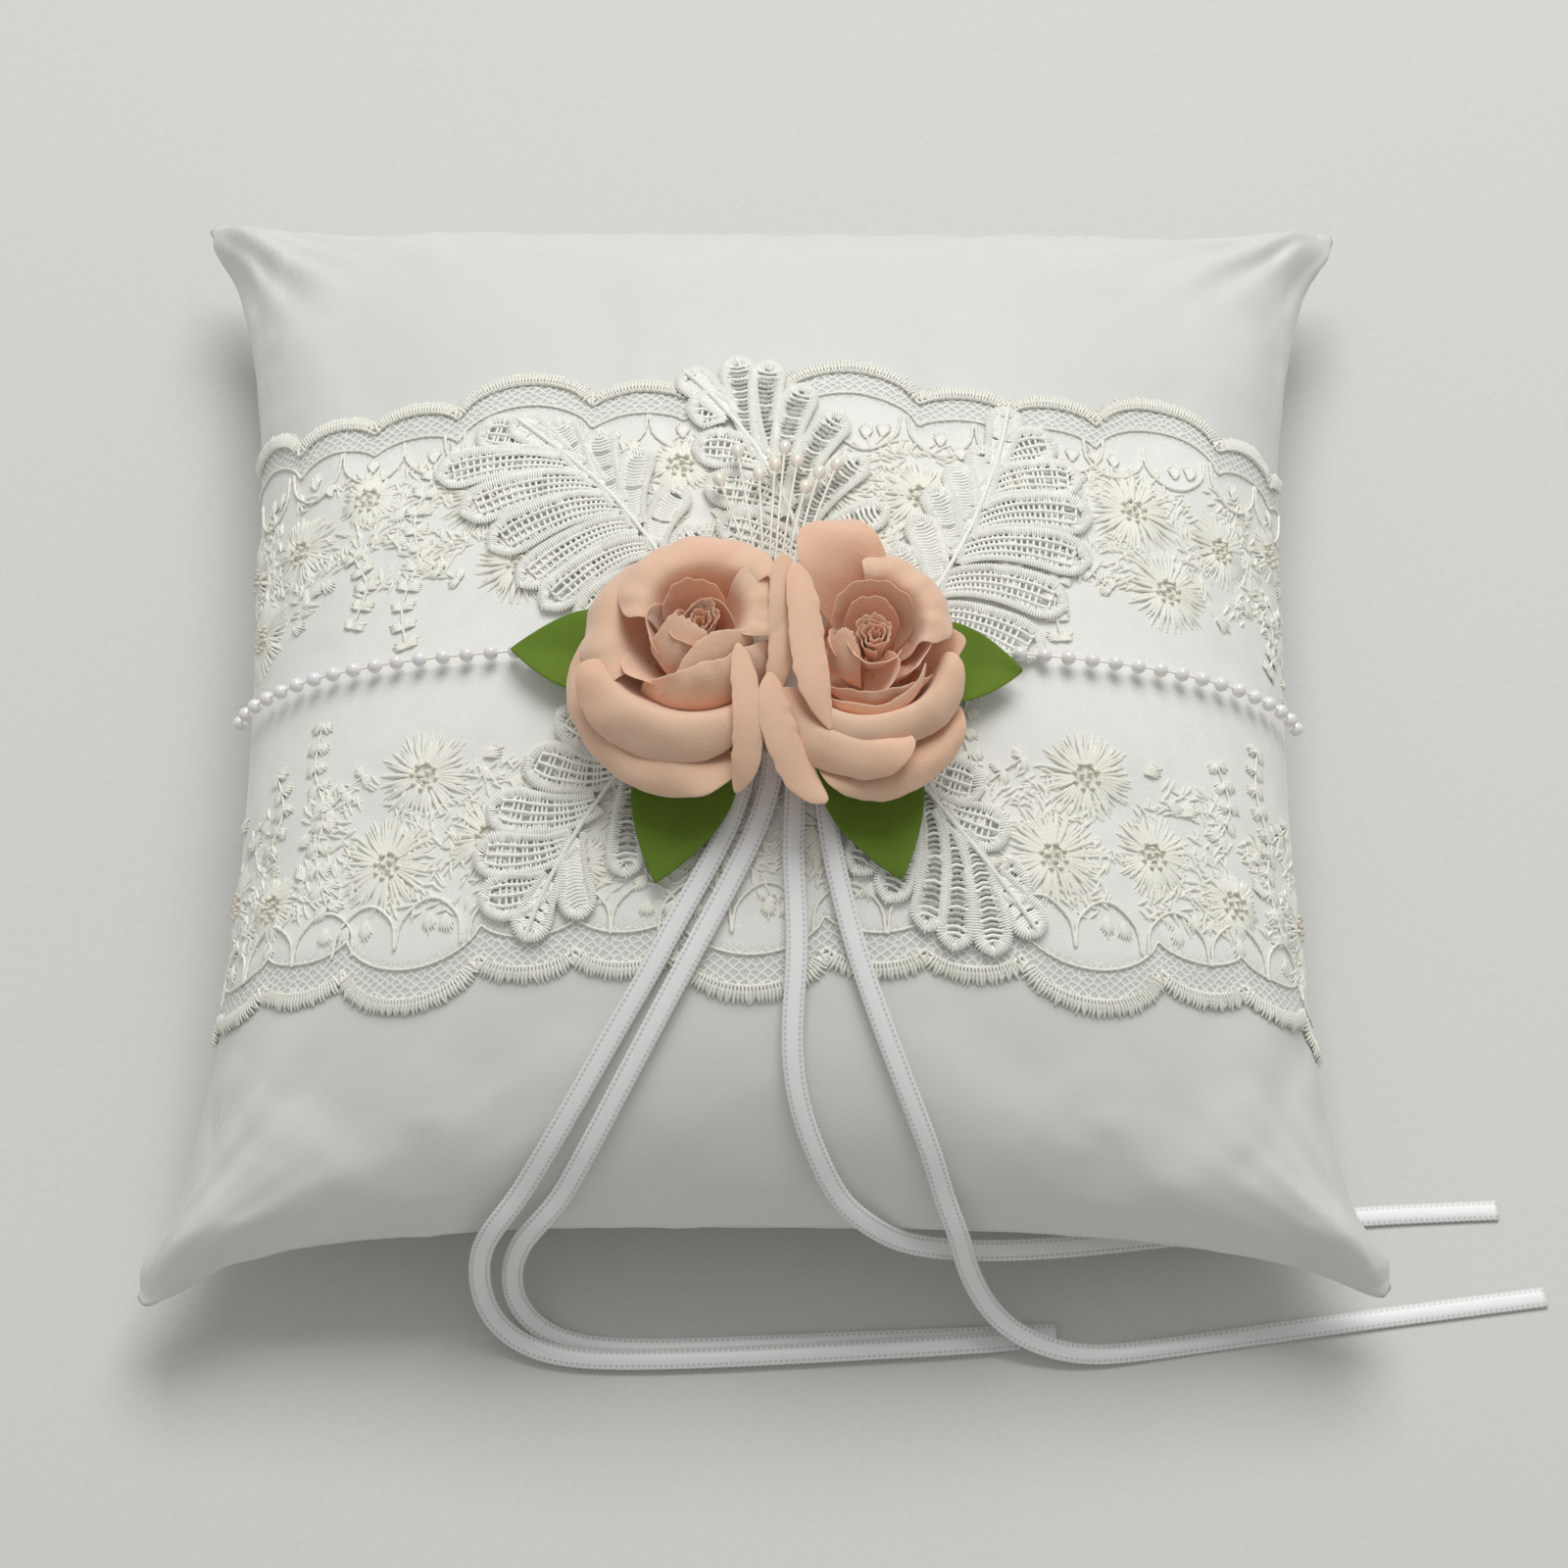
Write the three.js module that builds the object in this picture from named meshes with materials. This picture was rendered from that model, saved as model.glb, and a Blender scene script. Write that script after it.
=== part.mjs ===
// Ring bearer pillow: a stuffed satin cushion with a lace band, five guipure leaf
// appliques, a string of pearls, two fabric roses with leaves and stamens, and four
// ribbon tails that tie the rings on.
// Millimetres, +Z up, +X to the right, -Y towards the front. The origin is on the
// resting face, under the middle of the cushion.
import * as THREE from 'three';

// ---- Cushion ----------------------------------------------------------------
const HALF_WIDTH = 100; // centre to the corner tips, along X
const HALF_DEPTH = 100; // centre to the corner tips, along Y
const SIDE_PULL = 13; // how far the left and right seams pull in between the tips
const FRONT_PULL = 7; // how far the front and back seams pull in
const SEAM_HEIGHT = 25; // seam above the table, halfway along a side
const TIP_DROP = 8; // how much lower the corner tips hang
const CROWN_RISE = 37; // top of the crown above the seam
const BELLY_DROP = 31; // belly below the seam before it flattens on the table
const CROWN_FLATNESS = 2.5; // higher is flatter on top
const CROWN_SHOULDER = 0.6; // lower is steeper at the seam
const PULL_SHAPE = 3; // higher keeps a seam straighter between its tips
const COVER_WALL = 0.8; // satin with its backing
const GAP = 0.3; // clearance between pieces that lie on each other
const FILLING_EASE = 0.55; // how much further the wadding stays from the satin
const FILLING_REACH = 0.91; // share of the way to the seam that it fills
const SIDE_GRID = 18; // cells along one side of a cover panel
const FILLING_GRID = 12;

// ---- Lace band --------------------------------------------------------------
const LACE_SEAT = 0.5; // lace above the satin
const LACE_THICK = 1.0;
const LACE_BACK_EDGE = 41; // Y of the valleys of the back scallops
const LACE_FRONT_EDGE = -58; // Y of the valleys of the front scallops
const LACE_REACH = 0.985; // share of the half width that the band covers
const LACE_COLUMNS = 40;
const LACE_ROWS = 16;
const SCALLOPS = [ // one repeat of the edge: width and depth of each scallop
  { width: 23, depth: 6.5 },
  { width: 15.5, depth: 3 },
  { width: 15.5, depth: 3 },
];
const FRONT_SCALLOP_START = -14; // X where a repeat starts at the front edge
const BACK_SCALLOP_START = 2; // and at the back edge

// ---- Appliques ----------------------------------------------------------------
const APPLIQUE_THICK = 1.2;
const APPLIQUE_ROOT = 4; // radius of the fan's inner end
const APPLIQUE_SIDE = 15; // length of the outermost lobes
const APPLIQUE_LOBES = 9;
const APPLIQUE_TAPER = 1.4; // radians of a cosine from the longest lobe to the outermost
const APPLIQUE_LOBE_CELLS = 3;
const APPLIQUE_ROWS = 4;
const LOBE_NOTCH = 3.2; // depth of the notch between two lobes
const APPLIQUES = [ // root, heading of the vein and half angles, in degrees
  { name: 'upper_left', x: -16, y: 3, heading: 148, left: 58, right: 58, length: 46 },
  { name: 'top', x: 2, y: 8, heading: 104, left: 36, right: 56, length: 41 },
  { name: 'upper_right', x: 24, y: -4, heading: 64, left: 52, right: 54, length: 46 },
  { name: 'lower_left', x: -18, y: -24, heading: 237, left: 52, right: 58, length: 37 },
  { name: 'lower_right', x: 18, y: -25, heading: 312, left: 58, right: 52, length: 37 },
];

// ---- Pearl string -------------------------------------------------------------
const PEARL_D = 2.5;
const PEARL_PITCH = 4.1;
const THREAD_D = 0.8;
const PEARL_LINE_Y = -9; // where the string crosses the crown
const PEARL_LINE_BOW = 4.5; // how much further back its ends are
const PEARL_REACH = 0.985;

// ---- Flowers ------------------------------------------------------------------
const PAD_X = 1;
const PAD_Y = -12;
const PAD_HALF_WIDTH = 19;
const PAD_HALF_DEPTH = 13;
const PAD_THICK = 1;
const LEAF_THICK = 0.5;
const LEAF_HALF_WIDTH = 6.4;
const LEAF_END_HALF = 0.3; // half the width at root and tip
const LEAF_BELLY = 0.85; // under 1 puts the widest place nearer to the root
const LEAF_ROUNDNESS = 0.8; // lower is fuller
const LEAF_DIP = 1.7; // over 1 keeps the leaf level near the root
const LEAF_TIP_LIFT = 0.2; // extra clearance under the tip
const LEAVES = [ // from the root on the pad to the tip
  { name: 'left', root: [-16, -12], tip: [-41, -9], over: 'pearls' },
  { name: 'right', root: [17, -12], tip: [40, -12], over: 'pearls' },
  { name: 'lower_left', root: [-8, -21], tip: [-17, -49], over: 'applique' },
  { name: 'lower_right', root: [11, -21], tip: [21, -48], over: 'applique' },
];
const ROSES = [
  { name: 'left', x: -13.5, y: -14, turn: 20 },
  { name: 'right', x: 15.5, y: -13, turn: 200 },
];
const ROSE_BASE_R = 8.5;
const ROSE_BASE_THICK = 0.8;
const ROSE_CLEAR = 0.5; // clearance between the leaves and a rose base
const BUD_R = 2.3;
const BUD_HEIGHT = 9.5;
const PETALS = 8;
const PETAL_THICK = 0.45;
const PETAL_BASE_R = 3.1; // innermost petal, at its foot
const PETAL_BASE_STEP = 0.92;
const PETAL_RIM_R = 4.4; // innermost petal, at its rim
const PETAL_RIM_STEP = 1.3;
const PETAL_HEIGHT = 9.6;
const PETAL_HEIGHT_STEP = 0.55;
const PETAL_SPAN = 150; // degrees of the circle that one petal wraps
const PETAL_TURN = 137.5; // from one petal to the next
const PETAL_FLARE = 1.5; // over 1 keeps a petal upright before its rim turns out
const PETAL_SLOPE = 0.35; // share of its height that a petal loses at its sides
const STAMEN_STEM_D = 0.5;
const STAMEN_HEAD_D = 1.7;
const STAMEN_FOOT_Y = 2.6;
const STAMEN_FOOT_PITCH = 0.9;
const STAMEN_LIFT = 0.3; // extra clearance under the heads
const STAMEN_HEADS = [ // X and Y of the heads, left to right
  [-8, 20.5], [-5.2, 26], [-1.6, 21.5], [1, 23.5], [2.6, 26.8],
  [4.6, 24.2], [6, 19.2], [8.2, 22], [11, 23.6],
];

// ---- Ribbons ------------------------------------------------------------------
const RIBBON_WIDTH = 3.2;
const RIBBON_THICK = 0.4;
const RIBBON_STEPS = 48;
const RIBBON_CLEAR = 0.4; // clearance between a ribbon and the lace
const ROUTE_HALF = 100; // the half width and depth that the routes below are drawn on
const ROUTE_SEAM = 25; // and the seam height
const ROUTE_TABLE = 2; // route points lower than this lie on the table
const RIBBON_LEAN = 1.6; // higher turns the ribbon's face less towards the front
// Chosen points: [x, y] lies on the crown, [x, y, z] hangs free or lies on the table.
const RIBBONS = {
  ribbon_tail_outer_left: [
    [-3, -27], [-3.8, -32], [-5.5, -38], [-9, -45], [-13.5, -53], [-18.2, -61.5],
    [-23.5, -70], [-29, -78], [-34.5, -85], [-40, -90.5], [-43.5, -95.4, 30],
    [-45.5, -97, 24], [-46.2, -98.2, 17], [-46, -99.4, 11], [-45.2, -101, 6.5],
    [-43.2, -103, 3.8], [-39.5, -105.2, 2.1], [-34, -106.7, 1.5], [-26, -107.3, 1.3],
    [-12, -107, 1.3], [3, -106.2, 1.3], [19, -105.2, 1.3], [34, -104.2, 1.3], [42, -103.4, 1.3],
  ],
  ribbon_tail_inner_left: [
    [1, -27], [0.7, -32], [-1, -38], [-4.4, -45.5], [-9, -54], [-13.5, -62],
    [-18.5, -70.5], [-23.5, -78.5], [-28.5, -85.5], [-33.5, -90.8], [-37, -95.2, 30],
    [-39.3, -96, 24], [-40.7, -96.4, 17], [-41.2, -97, 11], [-41, -98.4, 6],
    [-39.2, -100.6, 2.6], [-35.5, -103, 0.9], [-29, -104.6, 0.5], [-18, -105, 0.5],
    [-2, -104.4, 0.5], [14, -103.6, 0.5], [32, -102.8, 0.5], [48, -102, 0.5],
  ],
  ribbon_tail_inner_right: [
    [4.8, -27], [4.6, -34], [4.2, -42], [4.6, -50], [5, -58], [4.4, -66],
    [4.2, -73], [5.6, -80], [9, -86.5], [13, -91], [17.2, -94.6, 30.5],
    [20, -94.9, 25.5], [26.5, -94.6, 20.5], [34, -93.6, 16.5], [42, -92.2, 13.2],
    [51, -90.4, 10.2], [62, -88, 7], [74, -85.4, 3.8], [86, -83, 1.5], [98, -81.4, 0.6],
    [110, -80.6, 0.5], [122, -80, 0.5],
  ],
  ribbon_tail_outer_right: [
    [9, -27], [9.2, -34], [10.2, -42], [12, -50], [14.2, -58], [17.2, -66],
    [20.2, -73], [23.6, -80], [26.8, -86], [29, -90.6], [31, -95.6, 30],
    [32, -97.2, 24], [33.2, -98.2, 18], [34.8, -99.2, 12.5], [37, -101, 8],
    [40, -102.9, 5], [44, -104.6, 3.2], [49, -105.8, 2], [55, -106, 1.1],
    [65, -104.6, 0.6], [78, -102.6, 0.5], [94, -100.2, 0.5], [112, -97.6, 0.5], [129, -95.2, 0.5],
  ],
};

// ---- Finishes -----------------------------------------------------------------
const finish = (color, roughness) => new THREE.MeshStandardMaterial({ color, roughness, metalness: 0 });
const SATIN = finish('#efedea', 0.4);
const WADDING = finish('#f5f5f3', 0.95);
const LACE = finish('#ece6d6', 0.85);
const GUIPURE = finish('#f6f5f0', 0.5);
const PEARL = finish('#f0eeea', 0.2);
const FELT = finish('#e9e4da', 0.95);
const PETAL = finish('#e3b8a3', 0.8);
const LEAF = finish('#4d6f2a', 0.7);
const STAMEN = finish('#ece3cf', 0.45);
const RIBBON = finish('#f1f0ee', 0.35);

// ---- Surface of the cushion ---------------------------------------------------
const swell = (t) => Math.pow(Math.max(0, 1 - Math.pow(Math.abs(t), CROWN_FLATNESS)), CROWN_SHOULDER);
const halfWidthAt = (v) => HALF_WIDTH - SIDE_PULL * (1 - Math.pow(Math.abs(v), PULL_SHAPE));
const halfDepthAt = (u) => HALF_DEPTH - FRONT_PULL * (1 - Math.pow(Math.abs(u), PULL_SHAPE));
const seamHeightAt = (u, v) => SEAM_HEIGHT - TIP_DROP * Math.pow(Math.abs(u * v), PULL_SHAPE);

// A point of the crown for u and v from -1 to 1, a distance out from the cover.
function crownPoint(u, v, out) {
  const rise = (CROWN_RISE + out) * swell(u) * swell(v);
  return new THREE.Vector3(
    u * (halfWidthAt(v) + out), v * (halfDepthAt(u) + out), seamHeightAt(u, v) + rise,
  );
}

// The same for the belly, which lies flat at a given height above the table.
function bellyPoint(u, v, out, floor) {
  const point = crownPoint(u, v, out);
  const drop = (BELLY_DROP + out) * swell(u) * swell(v);
  point.z = Math.max(floor, seamHeightAt(u, v) - drop);
  return point;
}

// The crown's point over a place in plan, found by going back and forth between u and v.
function crownOver(x, y, out) {
  const turns = 12;
  let u = 0;
  let v = 0;
  for (let turn = 0; turn < turns; turn += 1) {
    u = THREE.MathUtils.clamp(x / (halfWidthAt(v) + out), -1, 1);
    v = THREE.MathUtils.clamp(y / (halfDepthAt(u) + out), -1, 1);
  }
  return new THREE.Vector3(x, y, crownPoint(u, v, out).z);
}

// ---- Helpers ------------------------------------------------------------------
const object = new THREE.Group();

function addPiece(name, geometry, material) {
  const mesh = new THREE.Mesh(geometry, material);
  mesh.name = name;
  object.add(mesh);
  return mesh;
}

// A closed sheet: a box of cells whose corners are moved to place(u, v, w), each 0 to 1.
function sheet(cellsU, cellsV, place) {
  const box = new THREE.BoxGeometry(1, 1, 1, cellsU, cellsV, 1);
  const spots = box.attributes.position;
  for (let i = 0; i < spots.count; i += 1) {
    const point = place(spots.getX(i) + 0.5, spots.getY(i) + 0.5, spots.getZ(i) + 0.5);
    spots.setXYZ(i, point.x, point.y, point.z);
  }
  box.computeVertexNormals();
  return box;
}

// Spreads 0 to 1 over -1 to 1, with shorter steps towards both ends.
const spread = (t) => Math.sin((t - 0.5) * Math.PI);

// ---- Cushion: two satin panels over the filling --------------------------------
function buildCushion() {
  const half = GAP / 2;
  const lift = (point, by) => point.setZ(point.z + by);
  addPiece('cover_top_panel', sheet(SIDE_GRID, SIDE_GRID, (u, v, w) => (
    lift(crownPoint(spread(u), spread(v), -COVER_WALL * (1 - w)), half)
  )), SATIN);
  addPiece('cover_back_panel', sheet(SIDE_GRID, SIDE_GRID, (u, v, w) => {
    const inset = COVER_WALL * w;
    const point = bellyPoint(spread(u), spread(v), -inset, half + inset);
    return lift(point, -half);
  }), SATIN);
  const inside = COVER_WALL + GAP + FILLING_EASE;
  addPiece('fibre_filling', sheet(FILLING_GRID, FILLING_GRID, (u, v, w) => {
    const across = spread(u) * FILLING_REACH;
    const along = spread(v) * FILLING_REACH;
    return w > 0.5
      ? crownPoint(across, along, -inside)
      : bellyPoint(across, along, -inside, inside);
  }), WADDING);
}

// ---- Lace band over the crown ---------------------------------------------------
const SCALLOP_REPEAT = SCALLOPS.reduce((sum, one) => sum + one.width, 0);

function scallopDepth(x, start) {
  let along = THREE.MathUtils.euclideanModulo(x - start, SCALLOP_REPEAT);
  for (const one of SCALLOPS) {
    if (along <= one.width) return one.depth * Math.sqrt(Math.sin((along / one.width) * Math.PI));
    along -= one.width;
  }
  return 0;
}

function buildLace() {
  addPiece('lace_band', sheet(LACE_COLUMNS, LACE_ROWS, (u, v, w) => {
    const side = spread(u) * LACE_REACH;
    const x = side * halfWidthAt(0);
    const front = LACE_FRONT_EDGE - scallopDepth(x, FRONT_SCALLOP_START);
    const back = LACE_BACK_EDGE + scallopDepth(x, BACK_SCALLOP_START);
    const y = THREE.MathUtils.lerp(front, back, v);
    return crownPoint(side, y / halfDepthAt(side), LACE_SEAT + LACE_THICK * w);
  }), LACE);
}

// ---- Guipure appliques: lobed fans on the lace -----------------------------------
const ON_LACE = LACE_SEAT + LACE_THICK + GAP;

function buildAppliques() {
  for (const { name, x, y, heading, left, right, length } of APPLIQUES) {
    addPiece(`applique_${name}`, sheet(APPLIQUE_LOBES * APPLIQUE_LOBE_CELLS, APPLIQUE_ROWS, (u, v, w) => {
      const away = u < 0.5 ? left * (1 - 2 * u) : -right * (2 * u - 1);
      const share = Math.abs(2 * u - 1);
      const reach = APPLIQUE_SIDE + (length - APPLIQUE_SIDE) * Math.cos(share * APPLIQUE_TAPER) ** 2;
      const notch = LOBE_NOTCH * (1 - Math.abs(Math.sin(u * APPLIQUE_LOBES * Math.PI)));
      const radius = THREE.MathUtils.lerp(APPLIQUE_ROOT, reach - notch, v);
      const angle = THREE.MathUtils.degToRad(heading + away);
      const px = x + radius * Math.cos(angle);
      const py = y + radius * Math.sin(angle);
      return crownOver(px, py, ON_LACE + APPLIQUE_THICK * w);
    }), GUIPURE);
  }
}

// ---- Pearl string across the crown ------------------------------------------------
// A straight string of beads is turned on a lathe, then bent along its line.
function buildPearlString() {
  const out = ON_LACE + PEARL_D / 2;
  const samples = 60;
  const points = [];
  for (let i = 0; i <= samples; i += 1) {
    const side = spread(i / samples) * PEARL_REACH;
    const y = PEARL_LINE_Y + PEARL_LINE_BOW * side * side;
    points.push(crownPoint(side, y / halfDepthAt(side), out));
  }
  const path = new THREE.CatmullRomCurve3(points);
  const length = path.getLength();
  const count = Math.floor(length / PEARL_PITCH);
  const pitch = length / count;
  const thread = THREAD_D / 2;
  const pearl = PEARL_D / 2;
  const profile = [new THREE.Vector2(0, 0)];
  for (let i = 0; i < count; i += 1) {
    const middle = (i + 0.5) * pitch;
    for (const [r, h] of [[thread, -0.98], [pearl * 0.93, -0.42], [pearl * 0.93, 0.42], [thread, 0.98]]) {
      profile.push(new THREE.Vector2(r, middle + h * pearl));
    }
  }
  profile.push(new THREE.Vector2(0, length));
  const string = new THREE.LatheGeometry(profile, 6);
  const spots = string.attributes.position;
  for (let i = 0; i < spots.count; i += 1) {
    const share = THREE.MathUtils.clamp(spots.getY(i) / length, 0, 1);
    const along = path.getTangentAt(share);
    const back = new THREE.Vector3(0, 1, 0).addScaledVector(along, -along.y).normalize();
    const up = new THREE.Vector3().crossVectors(along, back);
    const point = path.getPointAt(share)
      .addScaledVector(back, spots.getX(i))
      .addScaledVector(up, -spots.getZ(i));
    spots.setXYZ(i, point.x, point.y, point.z);
  }
  string.computeVertexNormals();
  addPiece('pearl_string', string, PEARL);
}

// ---- Flower pad, leaves, roses and stamens ----------------------------------------
const PAD_BOTTOM = crownOver(PAD_X, PAD_Y, 0).z + ON_LACE + PEARL_D + GAP;
const PAD_TOP = PAD_BOTTOM + PAD_THICK;
const LEAF_BOTTOM = PAD_TOP + GAP;
const ROSE_BOTTOM = LEAF_BOTTOM + LEAF_THICK + ROSE_CLEAR;

function buildPad() {
  const pad = new THREE.CylinderGeometry(1, 1, PAD_THICK, 28);
  pad.rotateX(Math.PI / 2);
  pad.scale(PAD_HALF_WIDTH, PAD_HALF_DEPTH, 1);
  const mesh = addPiece('flower_pad', pad, FELT);
  mesh.position.set(PAD_X, PAD_Y, (PAD_BOTTOM + PAD_TOP) / 2);
}

function buildLeaves() {
  const clearOf = { pearls: ON_LACE + PEARL_D + GAP, applique: ON_LACE + APPLIQUE_THICK + GAP };
  for (const { name, root, tip, over } of LEAVES) {
    const foot = new THREE.Vector2(...root);
    const run = new THREE.Vector2(...tip).sub(foot);
    const side = new THREE.Vector2(-run.y, run.x).normalize();
    const tipHeight = crownOver(tip[0], tip[1], 0).z + clearOf[over] + LEAF_TIP_LIFT;
    addPiece(`leaf_${name}`, sheet(9, 2, (u, v, w) => {
      const bulge = Math.sin(Math.PI * u ** LEAF_BELLY) ** LEAF_ROUNDNESS;
      const half = THREE.MathUtils.lerp(LEAF_END_HALF, LEAF_HALF_WIDTH, bulge);
      const across = (2 * v - 1) * half;
      const x = foot.x + run.x * u + side.x * across;
      const y = foot.y + run.y * u + side.y * across;
      const height = THREE.MathUtils.lerp(LEAF_BOTTOM, tipHeight, u ** LEAF_DIP);
      return new THREE.Vector3(x, y, height + LEAF_THICK * w);
    }), LEAF);
  }
}

function buildRose({ name, x, y, turn }) {
  const base = new THREE.CylinderGeometry(ROSE_BASE_R, ROSE_BASE_R, ROSE_BASE_THICK, 18);
  base.rotateX(Math.PI / 2);
  const baseMesh = addPiece(`rose_${name}_base`, base, LEAF);
  baseMesh.position.set(x, y, ROSE_BOTTOM + ROSE_BASE_THICK / 2);

  const foot = ROSE_BOTTOM + ROSE_BASE_THICK + GAP;
  const outline = new THREE.SplineCurve([
    new THREE.Vector2(BUD_R * 0.7, 0), new THREE.Vector2(BUD_R, BUD_HEIGHT * 0.5),
    new THREE.Vector2(BUD_R * 0.9, BUD_HEIGHT * 0.85), new THREE.Vector2(BUD_R * 0.4, BUD_HEIGHT),
  ]).getPoints(5);
  const profile = [new THREE.Vector2(0, 0), ...outline, new THREE.Vector2(0, BUD_HEIGHT)];
  const bud = new THREE.LatheGeometry(profile, 10);
  bud.rotateX(Math.PI / 2);
  const budMesh = addPiece(`rose_${name}_bud`, bud, PETAL);
  budMesh.position.set(x, y, foot);

  for (let k = 0; k < PETALS; k += 1) {
    const start = turn + k * PETAL_TURN;
    const baseR = PETAL_BASE_R + PETAL_BASE_STEP * k;
    const rimR = PETAL_RIM_R + PETAL_RIM_STEP * k;
    const tall = PETAL_HEIGHT - PETAL_HEIGHT_STEP * k;
    const petal = sheet(8, 3, (u, v, w) => {
      const angle = THREE.MathUtils.degToRad(start + PETAL_SPAN * (u - 0.5));
      const radius = THREE.MathUtils.lerp(baseR, rimR, v ** PETAL_FLARE) + PETAL_THICK * w;
      const crest = 1 - PETAL_SLOPE * Math.abs(2 * u - 1) ** 3;
      return new THREE.Vector3(radius * Math.cos(angle), radius * Math.sin(angle), tall * v * crest);
    });
    const petalMesh = addPiece(`rose_${name}_petal_${k + 1}`, petal, PETAL);
    petalMesh.position.set(x, y, foot);
  }
}

function buildStamens() {
  const footZ = PAD_TOP + GAP + STAMEN_STEM_D / 2;
  const middle = (STAMEN_HEADS.length - 1) / 2;
  STAMEN_HEADS.forEach(([headX, headY], i) => {
    const foot = new THREE.Vector3(PAD_X + (i - middle) * STAMEN_FOOT_PITCH, STAMEN_FOOT_Y, footZ);
    const head = crownOver(headX, headY, ON_LACE + APPLIQUE_THICK + GAP + STAMEN_HEAD_D / 2 + STAMEN_LIFT);
    const length = foot.distanceTo(head);
    const stem = STAMEN_STEM_D / 2;
    const bulb = STAMEN_HEAD_D / 2;
    const profile = [
      [0, 0], [stem, 0], [stem, length - bulb * 1.6], [bulb * 0.75, length - bulb * 0.8],
      [bulb, length], [bulb * 0.7, length + bulb * 0.8], [0, length + bulb],
    ].map(([r, h]) => new THREE.Vector2(r, h));
    const stamen = new THREE.LatheGeometry(profile, 7);
    const mesh = addPiece(`stamen_${i + 1}`, stamen, STAMEN);
    mesh.position.copy(foot);
    mesh.quaternion.setFromUnitVectors(
      new THREE.Vector3(0, 1, 0), head.clone().sub(foot).normalize(),
    );
  });
}

// ---- Ribbon tails -------------------------------------------------------------------
const RIBBON_ON_LACE = LACE_SEAT + LACE_THICK + RIBBON_CLEAR + RIBBON_THICK / 2;

// A route point at this cushion's size.
function routePoint([x, y, z]) {
  const px = (x * HALF_WIDTH) / ROUTE_HALF;
  const py = (y * HALF_DEPTH) / ROUTE_HALF;
  if (z === undefined) return crownOver(px, py, RIBBON_ON_LACE);
  const height = z < ROUTE_TABLE ? z : (z * SEAM_HEIGHT) / ROUTE_SEAM;
  return new THREE.Vector3(px, py, height);
}

function buildRibbons() {
  for (const [name, route] of Object.entries(RIBBONS)) {
    const path = new THREE.CatmullRomCurve3(route.map(routePoint), false, 'centripetal');
    addPiece(name, sheet(RIBBON_STEPS, 1, (u, v, w) => {
      const centre = path.getPointAt(u);
      const along = path.getTangentAt(u);
      const lean = Math.min(centre.z, SEAM_HEIGHT) / (SEAM_HEIGHT * RIBBON_LEAN);
      const face = new THREE.Vector3(0, -lean, 1);
      face.addScaledVector(along, -face.dot(along)).normalize();
      const across = new THREE.Vector3().crossVectors(face, along);
      return centre
        .addScaledVector(across, RIBBON_WIDTH * (v - 0.5))
        .addScaledVector(face, RIBBON_THICK * (w - 0.5));
    }), RIBBON);
  }
}

buildCushion();
buildLace();
buildAppliques();
buildPearlString();
buildPad();
buildLeaves();
ROSES.forEach(buildRose);
buildStamens();
buildRibbons();

export default object;
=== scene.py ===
# %% [markdown]
# # Ring bearer pillow
# A stuffed satin cushion, about 20 cm from tip to tip, that carries the rings down the
# aisle. A band of ivory lace lies over it, with a string of pearls, five guipure
# leaves, two cloth roses with their own leaves and stamens, and two narrow ribbons
# whose four tails tie the rings on. Each cell below makes one finish or one piece.
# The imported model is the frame: it says where every piece belongs.

# %% Load the frame
import math

import bmesh
import bpy
import numpy as np
from mathutils import Matrix, Vector, noise


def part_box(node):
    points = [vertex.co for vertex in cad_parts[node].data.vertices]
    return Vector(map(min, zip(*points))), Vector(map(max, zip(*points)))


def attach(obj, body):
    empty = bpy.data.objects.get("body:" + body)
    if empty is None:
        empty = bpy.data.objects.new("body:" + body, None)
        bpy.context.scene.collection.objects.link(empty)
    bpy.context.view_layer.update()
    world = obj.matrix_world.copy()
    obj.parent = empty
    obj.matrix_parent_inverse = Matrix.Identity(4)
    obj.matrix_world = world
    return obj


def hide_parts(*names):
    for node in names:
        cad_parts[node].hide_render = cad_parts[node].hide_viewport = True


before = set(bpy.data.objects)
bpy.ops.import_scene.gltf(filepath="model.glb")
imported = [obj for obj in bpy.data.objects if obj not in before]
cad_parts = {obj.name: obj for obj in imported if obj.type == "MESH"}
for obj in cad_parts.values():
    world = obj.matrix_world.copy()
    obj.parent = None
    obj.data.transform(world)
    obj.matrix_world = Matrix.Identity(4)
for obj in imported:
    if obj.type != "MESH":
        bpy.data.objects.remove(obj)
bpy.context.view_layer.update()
scene = bpy.context.scene
MM = 0.001

# %% [markdown]
# ## How the cushion bulges
# Two square panels are sewn together at their edges and stuffed. The middle rises, the
# seams pull in between the corners and the corners stay flat. The model describes this
# with u and v, which run from -1 to 1 across the panel, so the same few lines are
# repeated here. They work on whole arrays at once, which keeps thousands of stitches fast.

# %% Shape of the cushion, in millimetres
HALF = 100  # centre to a corner tip
SIDE_PULL, FRONT_PULL, PULL_SHAPE = 13, 7, 3
SEAM_HEIGHT, TIP_DROP = 25, 8
CROWN_RISE, BELLY_DROP = 37, 31
FLATNESS, SHOULDER = 2.5, 0.6


def swell(t):
    return np.maximum(0, 1 - np.abs(t) ** FLATNESS) ** SHOULDER


def half_width(v):
    return HALF - SIDE_PULL * (1 - np.abs(v) ** PULL_SHAPE)


def half_depth(u):
    return HALF - FRONT_PULL * (1 - np.abs(u) ** PULL_SHAPE)


def seam_height(u, v):
    return SEAM_HEIGHT - TIP_DROP * np.abs(u * v) ** PULL_SHAPE


print("top of the crown", SEAM_HEIGHT + CROWN_RISE, "mm")

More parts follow.
